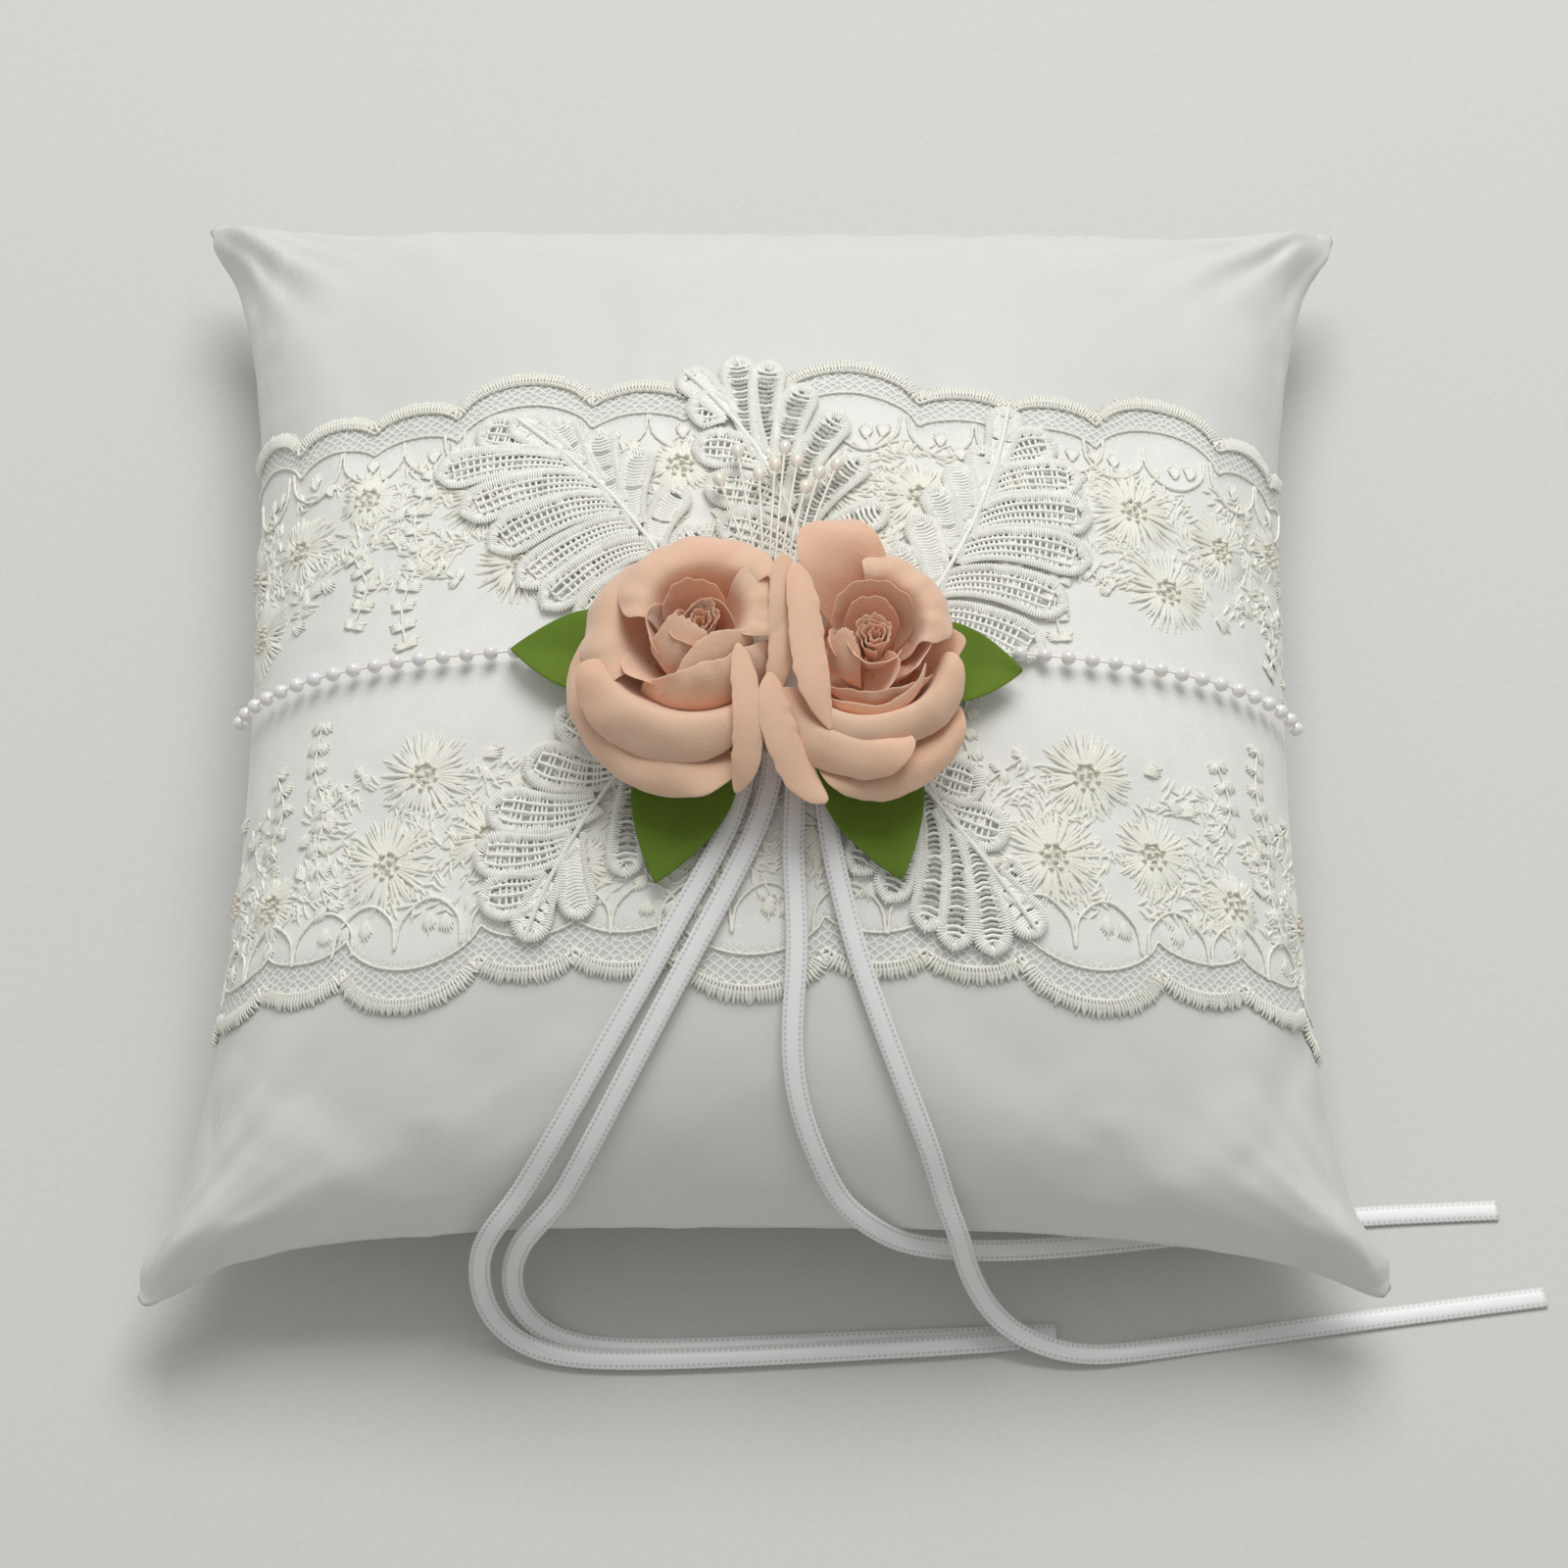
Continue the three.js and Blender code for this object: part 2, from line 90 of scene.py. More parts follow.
# %% [markdown]
# ## Camera
# The view is from the front, 64 degrees above the table, with a long lens, as someone
# standing at a desk sees the pillow. The light, set at the end with the table, is a big soft
# panel overhead and a dim room, so shadows stay soft.

# %% Camera
VIEW_TARGET = Vector((2.74, -11.22, 20)) * MM
VIEW_DISTANCE = 0.8
VIEW_ELEVATION = math.radians(63.93)
VIEW_ROLL = math.radians(0.31)
camera = bpy.data.objects.new("camera", bpy.data.cameras.new("camera"))
scene.collection.objects.link(camera)
back = Vector((0, -math.cos(VIEW_ELEVATION), math.sin(VIEW_ELEVATION)))
camera.location = VIEW_TARGET + back * VIEW_DISTANCE
turn = (-back).to_track_quat("-Z", "Y").to_matrix() @ Matrix.Rotation(VIEW_ROLL, 3, "Z")
camera.rotation_euler = turn.to_euler()
camera.data.sensor_width = 36
camera.data.lens = 108.54
camera.data.clip_start = 0.05
scene.camera = camera
scene.view_settings.view_transform = "Standard"
print("camera", [round(c, 3) for c in camera.location])

# %% [markdown]
# ## Small helpers for materials
# A material is a network of nodes. Written out, each node takes four or five lines, so
# these helpers make a node, set it and link it in one. Painted textures
# would need image files. Patterns from noise and waves need none and stay sharp close up.

# %% Node helpers for the materials


def new_material(name, colour, roughness, **sockets):
    mat = bpy.data.materials.new(name)
    mat.use_nodes = True
    shader = mat.node_tree.nodes["Principled BSDF"]
    shader.inputs["Base Color"].default_value = (*colour, 1)
    shader.inputs["Roughness"].default_value = roughness
    for socket, value in sockets.items():
        socket = socket.replace("_", " ").title().replace("Ior", "IOR")
        shader.inputs[socket].default_value = value
    return mat, shader


def find_input(node, key):
    """i0, i1 and so on count the node's inputs, and any other word is an input's name."""
    if key[0] == "i" and key[1:].isdigit():
        return node.inputs[int(key[1:])]
    return node.inputs[key.replace("_", " ")]


def add_node(mat, kind, settings=None, **inputs):
    node = mat.node_tree.nodes.new("ShaderNode" + kind)
    for key, value in (settings or {}).items():
        setattr(node, key, value)
    for key, value in inputs.items():
        socket = find_input(node, key)
        if isinstance(value, bpy.types.NodeSocket):
            mat.node_tree.links.new(value, socket)
        else:
            socket.default_value = value
    return node


def ramp(mat, factor, low, high, low_colour, high_colour):
    node = add_node(mat, "ValToRGB", Fac=factor)
    node.color_ramp.elements[0].position, node.color_ramp.elements[1].position = low, high
    node.color_ramp.elements[0].color = (*low_colour, 1)
    node.color_ramp.elements[1].color = (*high_colour, 1)
    return node.outputs["Color"]


def bump(mat, shader, height, strength, distance, under=None):
    extra = {"Normal": under} if under else {}
    node = add_node(mat, "Bump", Height=height, Strength=strength, Distance=distance, **extra)
    mat.node_tree.links.new(node.outputs["Normal"], shader.inputs["Normal"])
    return node.outputs["Normal"]


def colour_by(mat, shader, colour):
    mat.node_tree.links.new(colour, shader.inputs["Base Color"])


print("node helpers ready")

# %% [markdown]
# ## Finishes
# Every finish reads the piece's own UV map, which holds flat cloth millimetres, an
# attribute of its mesh, or Object coordinates. Bump heights are tiny, because satin and
# ribbon are nearly smooth: what shows is a soft sheen and a fine twill.

# %% Satin of the cushion and of the ribbons


def satin(name, colour, shade, roughness, thread, slub):
    mat, shader = new_material(
        name, colour, roughness, Specular_ior_level=0.6, Sheen_weight=0.12, Sheen_roughness=0.35,
        Anisotropic=0.35,
    )
    uv = add_node(mat, "UVMap").outputs["UV"]
    turned = add_node(mat, "Mapping", Vector=uv, Rotation=(0, 0, 0.9)).outputs["Vector"]
    twill = add_node(
        mat, "TexWave", {"wave_type": "BANDS", "bands_direction": "X"}, Vector=turned,
        Scale=0.314 / thread, Distortion=0.6, Detail=1.0,
    ).outputs["Fac"]
    cloudy = add_node(mat, "TexNoise", Vector=uv, Scale=slub, Detail=4.0).outputs["Fac"]
    colour_by(mat, shader, ramp(mat, cloudy, 0.3, 0.7, shade, colour))
    first = bump(mat, shader, cloudy, 0.1, 0.0003)
    bump(mat, shader, twill, 0.12, 0.00004, first)
    return mat


SATIN = satin("cushion_satin", (0.74, 0.747, 0.713), (0.72, 0.727, 0.693), 0.42, 0.5, 0.06)


def ribbon_finish():
    """Narrow satin with a dotted line of stitches just inside each edge, dented, with painted shade darkening
    the dents.
    """
    mat, shader = new_material(
        "ribbon_satin", (0.88, 0.88, 0.87), 0.28, Specular_ior_level=0.5, Sheen_weight=0.1,
        Anisotropic=0.4)
    uv = add_node(mat, "UVMap").outputs["UV"]
    parts = add_node(mat, "SeparateXYZ", Vector=uv)
    off = add_node(mat, "Math", {"operation": "ABSOLUTE"}, i0=parts.outputs["Y"]).outputs[0]
    gap = add_node(mat, "Math", {"operation": "SUBTRACT"}, i0=off, i1=1.12).outputs[0]
    gap = add_node(mat, "Math", {"operation": "ABSOLUTE"}, i0=gap).outputs[0]
    line = add_node(mat, "MapRange", Value=gap, i1=0.10, i2=0.28, i3=1.0, i4=0.0).outputs[0]
    beat = add_node(mat, "Math", {"operation": "MULTIPLY"}, i0=parts.outputs["X"], i1=7.0).outputs[0]
    beat = add_node(mat, "Math", {"operation": "SINE"}, i0=beat).outputs[0]
    beat = add_node(mat, "MapRange", Value=beat, i1=-0.4, i2=0.4, i3=0.25, i4=1.0).outputs[0]
    stitch_dents_and_shade = add_node(mat, "Math", {"operation": "MULTIPLY"}, i0=line, i1=beat).outputs[0]
    # Painted shade: the stitch dots are darker in colour, as shade in their dents.
    colour_by(mat, shader, ramp(mat, stitch_dents_and_shade, 0.0, 1.0, (0.88, 0.88, 0.87), (0.60, 0.60, 0.585)))
    bump(mat, shader, stitch_dents_and_shade, -0.8, 0.0002)
    return mat


RIBBON = ribbon_finish()
print("satins", SATIN.name, RIBBON.name)

# %% [markdown]
# ## Threads
# The lace is worked in dull ivory cotton, with darker knots in the flowers, and the
# guipure in a bright thread with some gloss. The threads are real geometry, so their
# finish only needs a cloudy colour and a fine fuzz, and no drawn stitches.

# %% Threads: ivory cotton, white guipure and the yellowish knots


def thread_finish(name, colour, shade, roughness, **sockets):
    mat, shader = new_material(name, colour, roughness, **sockets)
    place = add_node(mat, "TexCoord").outputs["Object"]
    cloudy = add_node(mat, "TexNoise", Vector=place, Scale=90.0, Detail=3.0).outputs["Fac"]
    colour_by(mat, shader, ramp(mat, cloudy, 0.35, 0.65, shade, colour))
    fine = add_node(mat, "TexNoise", Vector=place, Scale=2600.0, Detail=2.0).outputs["Fac"]
    bump(mat, shader, fine, 0.5, 0.0002)
    return mat


COTTON = thread_finish("lace_cotton", (0.98, 0.97, 0.89), (0.94, 0.93, 0.835), 0.9, Sheen_weight=0.45)
KNOTS = thread_finish("lace_knots", (0.88, 0.83, 0.70), (0.82, 0.77, 0.63), 0.85, Sheen_weight=0.2)
GUIPURE = thread_finish("guipure_thread", (0.985, 0.985, 0.93), (0.955, 0.955, 0.895), 0.34, Sheen_weight=0.2)
FELT = thread_finish("pad_felt", (0.78, 0.74, 0.66), (0.70, 0.66, 0.58), 0.95, Sheen_weight=0.4)
WADDING = thread_finish("filling_wadding", (0.88, 0.88, 0.87), (0.80, 0.80, 0.79), 0.95, Sheen_weight=0.4)
print("threads", COTTON.name, KNOTS.name, GUIPURE.name)

# %% [markdown]
# ## Net
# Net is knitted with holes of half a millimetre. Modelled thread by thread it would take
# millions of faces, so it is one sheet whose alpha holds the mesh: a fine one over the
# band, nearly closed to the eye, and a coarse, open one along the scalloped borders. An
# attribute called border says which of the two a place has.

# %% Finish of the net


def net_finish():
    mat, shader = new_material("lace_net", (0.80, 0.77, 0.70), 0.85, Sheen_weight=0.2)
    uv = add_node(mat, "UVMap").outputs["UV"]
    border = add_node(mat, "Attribute", {"attribute_name": "border"}).outputs["Fac"]
    skew = add_node(
        mat, "Mapping", Vector=uv, Rotation=(0, 0, 0.785), Scale=(1.0, 1.25, 1.0),
    ).outputs["Vector"]
    fine = add_node(
        mat, "TexVoronoi", {"feature": "DISTANCE_TO_EDGE"}, Vector=skew, Scale=1.5, Randomness=0.45,
    ).outputs["Distance"]
    coarse = add_node(
        mat, "TexVoronoi", {"feature": "DISTANCE_TO_EDGE"}, Vector=skew, Scale=0.78, Randomness=0.4,
    ).outputs["Distance"]
    pattern = add_node(mat, "Mix", Factor=border, i2=fine, i3=coarse).outputs[0]
    thread = add_node(mat, "MapRange", Value=pattern, i1=0.08, i2=0.2, i3=1.0, i4=0.04).outputs[0]
    strength = add_node(mat, "MapRange", Value=border, i1=0.0, i2=1.0, i3=0.97, i4=0.85).outputs[0]
    lines = add_node(mat, "Math", {"operation": "MULTIPLY"}, i0=thread, i1=strength).outputs[0]
    veil = add_node(mat, "MapRange", Value=border, i1=0.0, i2=1.0, i3=0.88, i4=0.3).outputs[0]
    cover = add_node(mat, "Math", {"operation": "MAXIMUM"}, i0=lines, i1=veil).outputs[0]
    mat.node_tree.links.new(cover, shader.inputs["Alpha"])
    cloudy = add_node(mat, "TexNoise", Vector=uv, Scale=0.25, Detail=3.0).outputs["Fac"]
    colour_by(mat, shader, ramp(mat, cloudy, 0.35, 0.65, (0.93, 0.93, 0.885), (0.96, 0.96, 0.915)))
    return mat


NET = net_finish()
print("net", NET.name)

# %% [markdown]
# ## Flower finishes
# Petals are cut from thin dyed cloth, and light passes through them, which subsurface scattering gives.
# Their colour is deeper at the foot and paler at the rim: partly the dye, and partly painted shade in
# the crevices between the petals and painted light on their rims. The leaves are stiffened cloth with
# a rib, and pearls and stamens are moulded, with a clear coat on a pale body.

# %% Petal, leaf, pearl and stamen finishes


def petal_finish():
    mat, shader = new_material(
        "rose_petal_cloth", (0.78, 0.46, 0.34), 0.85, Sheen_weight=0.35, Sheen_roughness=0.5,
        Subsurface_weight=0.45, Specular_ior_level=0.15,
    )
    shader.inputs["Subsurface Radius"].default_value = (0.02, 0.009, 0.006)
    uv = add_node(mat, "UVMap").outputs["UV"]
    along = add_node(mat, "SeparateXYZ", Vector=uv).outputs["Y"]
    place = add_node(mat, "TexCoord").outputs["Object"]
    cloudy = add_node(mat, "TexNoise", Vector=place, Scale=800.0, Detail=6.0).outputs["Fac"]
    dye_and_painted_shade = add_node(mat, "Math", {"operation": "MULTIPLY_ADD"}, i0=cloudy, i1=2.0, i2=along).outputs[0]
    # Painted shade and light: the ramp runs from a deep colour at the foot, partly dye and partly painted
    # crevice shade, to a pale rim painted as lit.
    colour_by(mat, shader, ramp(mat, dye_and_painted_shade, 0.9, 2.1, (0.83, 0.29, 0.16), (0.85, 0.53, 0.38)))
    weave = add_node(mat, "TexNoise", Vector=place, Scale=2200.0, Detail=3.0).outputs["Fac"]
    bump(mat, shader, weave, 0.4, 0.00022)
    return mat


def leaf_finish():
    mat, shader = new_material(
        "leaf_cloth", (0.10, 0.19, 0.035), 0.8, Sheen_weight=0.03, Specular_ior_level=0.15,
    )
    place = add_node(mat, "TexCoord").outputs["Object"]
    cloudy = add_node(mat, "TexNoise", Vector=place, Scale=160.0, Detail=4.0).outputs["Fac"]
    ribs = add_node(
        mat, "TexWave", {"wave_type": "BANDS", "bands_direction": "X"}, Vector=place, Scale=900.0,
        Distortion=0.8, Detail=1.0,
    ).outputs["Fac"]
    mixed = add_node(mat, "Math", {"operation": "MULTIPLY_ADD"}, i0=ribs, i1=0.12, i2=cloudy).outputs[0]
    colour_by(mat, shader, ramp(mat, mixed, 0.3, 0.95, (0.115, 0.195, 0.019), (0.15, 0.24, 0.032)))
    bump(mat, shader, ribs, 0.2, 0.00008)
    return mat


def pearl_finish(name, colour):
    mat, shader = new_material(
        name, colour, 0.22, Coat_weight=0.6, Coat_roughness=0.08, Specular_ior_level=0.6,
        Subsurface_weight=0.1, Sheen_weight=0.1,
    )
    shader.inputs["Subsurface Radius"].default_value = (0.001, 0.001, 0.001)
    place = add_node(mat, "TexCoord").outputs["Object"]
    cloudy = add_node(mat, "TexNoise", Vector=place, Scale=300.0, Detail=2.0).outputs["Fac"]
    warm = tuple(c * f for c, f in zip(colour, (1.0, 0.95, 0.93)))
    cool = tuple(c * f for c, f in zip(colour, (0.95, 0.97, 1.0)))
    colour_by(mat, shader, ramp(mat, cloudy, 0.4, 0.6, warm, cool))
    return mat


PETAL = petal_finish()
LEAF = leaf_finish()
PEARL = pearl_finish("pearl_white", (0.89, 0.885, 0.87))
STAMEN = pearl_finish("stamen_pearl", (0.92, 0.88, 0.77))
print("flower finishes", PETAL.name, LEAF.name, PEARL.name, STAMEN.name)

# %% [markdown]
# ## Small helpers for pieces
# Cloth pieces start as a flat grid from the grid operator, and each corner is then moved
# to its place, which keeps the flat cloth's UV map. Threads could be cylinders along each
# stitch, but a bevelled curve makes thousands of them at once, each with its own
# thickness along the way, and is then turned into one mesh.

# %% Helpers that turn a bmesh or threads into a piece


def finish_piece(name, mesh, material, replaced=()):
    mesh.materials.clear()
    mesh.materials.append(material)
    mesh.polygons.foreach_set("use_smooth", [True] * len(mesh.polygons))
    piece = bpy.data.objects.new(name, mesh)
    scene.collection.objects.link(piece)
    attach(piece, "root")
    if replaced:
        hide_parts(*replaced)
    return piece


def thicken(piece, wall, rounded=True):
    """Gives a sheet a wall, in millimetres, and rounds it off."""
    shell = piece.modifiers.new("thickness", "SOLIDIFY")
    shell.thickness, shell.offset = wall * MM, 0
    if rounded:
        smooth = piece.modifiers.new("smooth", "SUBSURF")
        smooth.levels = smooth.render_levels = 1


def mesh_from(bm, name):
    mesh = bpy.data.meshes.new(name)
    bm.to_mesh(mesh)
    bm.free()
    return mesh


def grid_with_uv(cells_u, cells_v):
    """A flat grid from -1 to 1, whose UV map can be filled in later."""
    bm = bmesh.new()
    bmesh.ops.create_grid(bm, x_segments=cells_u, y_segments=cells_v, size=1, calc_uvs=True)
    return bm


def place_grid(bm, place, flat):
    """Moves each corner to place(s, t) and gives it the cloth place flat(s, t)."""
    spots = np.array([vert.co[:2] for vert in bm.verts])
    moved = np.asarray(place(spots[:, 0], spots[:, 1])) * MM
    cloth = np.asarray(flat(spots[:, 0], spots[:, 1]))
    for vert, spot in zip(bm.verts, moved):
        vert.co = spot
    layer = bm.loops.layers.uv.verify()
    bm.verts.ensure_lookup_table()
    for face in bm.faces:
        for loop in face.loops:
            loop[layer].uv = cloth[loop.vert.index]


def bend_threads(name, runs, radius, sides):
    """Round threads along runs of (points, thicknesses), as one mesh."""
    curve = bpy.data.curves.new(name, "CURVE")
    curve.dimensions = "3D"
    curve.bevel_depth = radius * MM
    curve.bevel_resolution = (sides - 4) // 2
    curve.use_fill_caps = True
    for points, thickness in runs:
        spline = curve.splines.new("POLY")
        spline.points.add(len(points) - 1)
        spline.points.foreach_set("co", np.c_[points * MM, np.ones(len(points))].ravel())
        spline.points.foreach_set("radius", thickness)
        spline.use_smooth = True
    holder = bpy.data.objects.new(name, curve)
    mesh = bpy.data.meshes.new_from_object(holder)
    bpy.data.objects.remove(holder)
    bpy.data.curves.remove(curve)
    return mesh


def smooth_run(points, step):
    """Points about a step apart on a smooth line through the given ones."""
    points = np.asarray(points, dtype=float)
    ends = np.vstack([2 * points[0] - points[1], points, 2 * points[-1] - points[-2]])
    fine = []
    for i in range(1, len(ends) - 2):
        t = np.linspace(0, 1, 9)[:-1, None]
        a, b, c, d = ends[i - 1:i + 3]
        fine.append(0.5 * (2 * b + (c - a) * t + (2 * a - 5 * b + 4 * c - d) * t ** 2
                           + (3 * b - a - 3 * c + d) * t ** 3))
    fine = np.vstack([*fine, points[-1:]])
    along = np.r_[0, np.cumsum(np.linalg.norm(np.diff(fine, axis=0), axis=1))]
    count = max(2, int(round(along[-1] / step)) + 1)
    wanted = np.linspace(0, along[-1], count)
    return np.stack([np.interp(wanted, along, fine[:, k]) for k in range(fine.shape[1])], axis=1)


def wound(count, thin=0.72, thick=1.0):
    """Thick and thin in turn, so that a cord looks wound with thread."""
    return np.where(np.arange(count) % 2, thick, thin)


print("piece helpers ready")

# %% [markdown]
# ## The cushion
# Two grids make the two panels, and they share the seam. A short cloth simulation with
# air pressure inside lets the satin find its own small wrinkles along the seams, and a
# cap keeps every point within a few millimetres, because the trimmings are sewn to it.
# Puckers at the seam and the pinched ears at the corners are pushed in afterwards.

# %% Sew the cushion
PANEL_CELLS = 110


def panel_point(s, t, top):
    u, v = np.sin(s * math.pi / 2), np.sin(t * math.pi / 2)
    rise = CROWN_RISE if top else -BELLY_DROP
    z = seam_height(u, v) + rise * swell(u) * swell(v)
    return np.stack([u * half_width(v), v * half_depth(u), np.maximum(z, 0.2)], axis=1)


def cloth_place(s, t):
    return np.stack([s, t], axis=1) * HALF * 1.12


cushion_bm = grid_with_uv(PANEL_CELLS, PANEL_CELLS)
place_grid(cushion_bm, lambda s, t: panel_point(s, t, True), cloth_place)
belly_bm = grid_with_uv(PANEL_CELLS, PANEL_CELLS)
place_grid(belly_bm, lambda s, t: panel_point(s, t, False), cloth_place)
bmesh.ops.reverse_faces(belly_bm, faces=belly_bm.faces)
belly_mesh = mesh_from(belly_bm, "belly")
TOP_COUNT = len(cushion_bm.verts)
cushion_bm.from_mesh(belly_mesh)
bpy.data.meshes.remove(belly_mesh)
bmesh.ops.remove_doubles(cushion_bm, verts=cushion_bm.verts, dist=0.00001)
cushion_mesh = mesh_from(cushion_bm, "satin_cushion")
print("cushion", len(cushion_mesh.vertices), "corners")

# %% Where each corner of the top panel went
PANEL_SIDE = int(round(math.sqrt(TOP_COUNT)))
flat_s = np.linspace(-1, 1, PANEL_SIDE)
top_s, top_t = np.meshgrid(flat_s, flat_s)
top_wanted = panel_point(top_s.ravel(), top_t.ravel(), True) * MM
points = np.empty(len(cushion_mesh.vertices) * 3)
cushion_mesh.vertices.foreach_get("co", points)
points = points.reshape(-1, 3)
keys = {tuple(np.round(p * 1e6).astype(int)): i for i, p in enumerate(points)}
top_index = np.array([keys.get(tuple(np.round(p * 1e6).astype(int)), -1) for p in top_wanted])
lost = np.flatnonzero(top_index < 0)
for i in lost:
    top_index[i] = int(np.argmin(((points - top_wanted[i]) ** 2).sum(axis=1)))
print("top panel corners found", len(top_index), "looked for again", len(lost))

# %% Puff it up
PUFF_FRAMES = 20
PUFF_SWELL, PUFF_SINK = 1.8, 0.3  # millimetres that a point may rise or sink in all
WRINKLE = 0.38  # share of the fine creases that is kept
BROAD_CELLS = 6  # what is wider than this is the broad swelling, and the rest is creases
BROAD_SHARE, BACK_SHARE = 0.25, 0.2
DENT, RIDGE = 0.7, 1.1  # the deepest and highest crease


def blurred(rows, reach):
    """Mean of each cell's neighbourhood, edges repeated."""
    for axis in (0, 1):
        wide = np.pad(rows, [(reach, reach) if k == axis else (0, 0) for k in (0, 1)], mode="edge")
        total = np.cumsum(np.insert(wide, 0, 0, axis=axis), axis=axis)
        size = 2 * reach + 1
        high = np.take(total, range(size, total.shape[axis]), axis=axis)
        rows = (high - np.take(total, range(0, total.shape[axis] - size), axis=axis)) / size
    return rows


cushion = finish_piece(
    "satin_cushion", cushion_mesh, SATIN, ("cover_top_panel", "cover_back_panel"))
puff = cushion.modifiers.new("puff", "CLOTH")
puff.settings.quality = 5
puff.settings.mass = 0.15
puff.settings.tension_stiffness = 15
puff.settings.compression_stiffness = 5
puff.settings.shear_stiffness = 3
puff.settings.bending_stiffness = 0.1
puff.settings.use_pressure = True
puff.settings.uniform_pressure_force = 6
puff.settings.shrink_min = -0.04
puff.settings.effector_weights.gravity = 0
puff.collision_settings.use_collision = False
puff.point_cache.frame_end = PUFF_FRAMES
for step in range(1, PUFF_FRAMES + 1):
    scene.frame_set(step)
shaped = cushion.evaluated_get(bpy.context.evaluated_depsgraph_get())
moved = np.empty(len(points) * 3)
shaped.data.vertices.foreach_get("co", moved)
cushion.modifiers.remove(puff)
scene.frame_set(1)
outward = np.empty(len(points) * 3)
cushion_mesh.vertices.foreach_get("normal", outward)
outward = outward.reshape(-1, 3)
rise = ((moved.reshape(-1, 3) - points) * outward).sum(axis=1) / MM
capped = np.clip(rise * BACK_SHARE, -PUFF_SINK, PUFF_SINK)
top_rise = rise[top_index].reshape(PANEL_SIDE, PANEL_SIDE)
broad = blurred(top_rise, BROAD_CELLS)
creases = np.clip((top_rise - broad) * WRINKLE, -DENT, RIDGE)
top_rise = np.clip(BROAD_SHARE * broad, 0, PUFF_SWELL) + creases
capped[top_index] = np.clip(top_rise, -PUFF_SINK, PUFF_SWELL + 1).ravel()  # 1 mm more on a ridge
points = points + outward * capped[:, None] * MM
print("puff moved a corner by up to", round(np.abs(rise).max(), 1), "mm before the cap")

# %% Pinch the ears, pucker the seam and rest it on the table


def lumps(x, y, scale, seed):
    return np.array([noise.noise((a * scale, b * scale, seed)) for a, b in zip(x, y)])


SEAM_REACH = 4.5  # a pucker fades this far in from its seam
PUCKER_RISE, PLEAT_RISE, EAR_RISE = 1.6, 1.7, 3.4
TIP_PULL = 0.7
FLARE_FRONT, FLARE_BACK, FLARE_DEEP = 3.0, 2.1, 1.2  # how far the ears stand out
EAR_HANG = np.array([0, 3.2, 2.6])  # the front ears hang forwards and down
RIGHT_HANG = 0.25  # share of it at the right ear
flat_x, flat_y, height = points.T / MM
on_top = height > seam_height(flat_x / HALF, flat_y / HALF) - 1
edge_u = np.clip(np.abs(flat_x) / half_width(np.clip(flat_y / HALF, -1, 1)), 0, 1)
edge_v = np.clip(np.abs(flat_y) / half_depth(np.clip(flat_x / HALF, -1, 1)), 0, 1)
near_side = np.exp(-(1 - edge_u) * HALF / SEAM_REACH)
near_front = np.exp(-(1 - edge_v) * HALF / SEAM_REACH)
pucker = lumps(flat_y * 0.8, flat_x * 0.05, 0.16, 3.0) * near_side
pucker += lumps(flat_x * 0.8, flat_y * 0.05, 0.16, 9.0) * near_front
corner = np.hypot(HALF - np.abs(flat_x), HALF - np.abs(flat_y))
bearing = np.arctan2(HALF - np.abs(flat_y), HALF - np.abs(flat_x))


def ring(distance, width):
    """1 at a distance from the nearest corner tip, fading to 0 within about its width."""
    return np.exp(-((corner - distance) / width) ** 2)


pleats = lumps(bearing * 7, np.sign(flat_x) * 2 + np.sign(flat_y) * 5, 1.0, 4.0)
pleats *= ring(20, 14)
for axis in (0, 1):
    points[:, axis] -= np.sign(points[:, axis]) * TIP_PULL * MM * ring(0, 5)
ear = ring(9, 8) * np.clip(np.minimum((1 - edge_u), (1 - edge_v)) * HALF / 4, 0, 1)
flare = ring(6, 5)
points[:, 0] += np.sign(flat_x) * np.where(flat_y < 0, FLARE_FRONT, FLARE_BACK) * MM * flare * near_side
points[:, 1] += np.sign(flat_y) * FLARE_DEEP * MM * flare * near_front
hang = ring(0, 10) * (flat_y < 0) * np.where(flat_x < 0, 1.0, RIGHT_HANG)
points -= hang[:, None] * EAR_HANG * MM
points[:, 2] += ear * EAR_RISE * MM * np.where(on_top, 1, -0.8)
points[:, 2] += (pucker * PUCKER_RISE + pleats * PLEAT_RISE) * MM * np.where(on_top, 1, -0.3)
points[:, 2] = np.maximum(points[:, 2], 0.0002)
cushion_mesh.vertices.foreach_set("co", points.ravel())
cushion_mesh.update()
print("cushion height", round(points[:, 2].max() / MM, 1), "mm")

# %% Look up the finished top panel, so that the trimmings can lie on it
top_points = (points[top_index] / MM).reshape(PANEL_SIDE, PANEL_SIDE, 3)
slope_s = np.gradient(top_points, axis=1)
slope_t = np.gradient(top_points, axis=0)
top_normals = np.cross(slope_s, slope_t)
top_normals /= np.maximum(np.linalg.norm(top_normals, axis=2, keepdims=True), 1e-9)


def crown(u, v):
    """Points and outward directions of the top panel at u and v."""
    s = (np.arcsin(np.clip(u, -1, 1)) / math.pi + 0.5) * (PANEL_SIDE - 1)
    t = (np.arcsin(np.clip(v, -1, 1)) / math.pi + 0.5) * (PANEL_SIDE - 1)
    i = np.clip(s.astype(int), 0, PANEL_SIDE - 2)
    j = np.clip(t.astype(int), 0, PANEL_SIDE - 2)
    a, b = (s - i)[:, None], (t - j)[:, None]
    found = []
    for table in (top_points, top_normals):
        low = table[j, i] * (1 - a) + table[j, i + 1] * a
        high = table[j + 1, i] * (1 - a) + table[j + 1, i + 1] * a
        found.append(low * (1 - b) + high * b)
    found[1] /= np.linalg.norm(found[1], axis=1, keepdims=True)
    return found


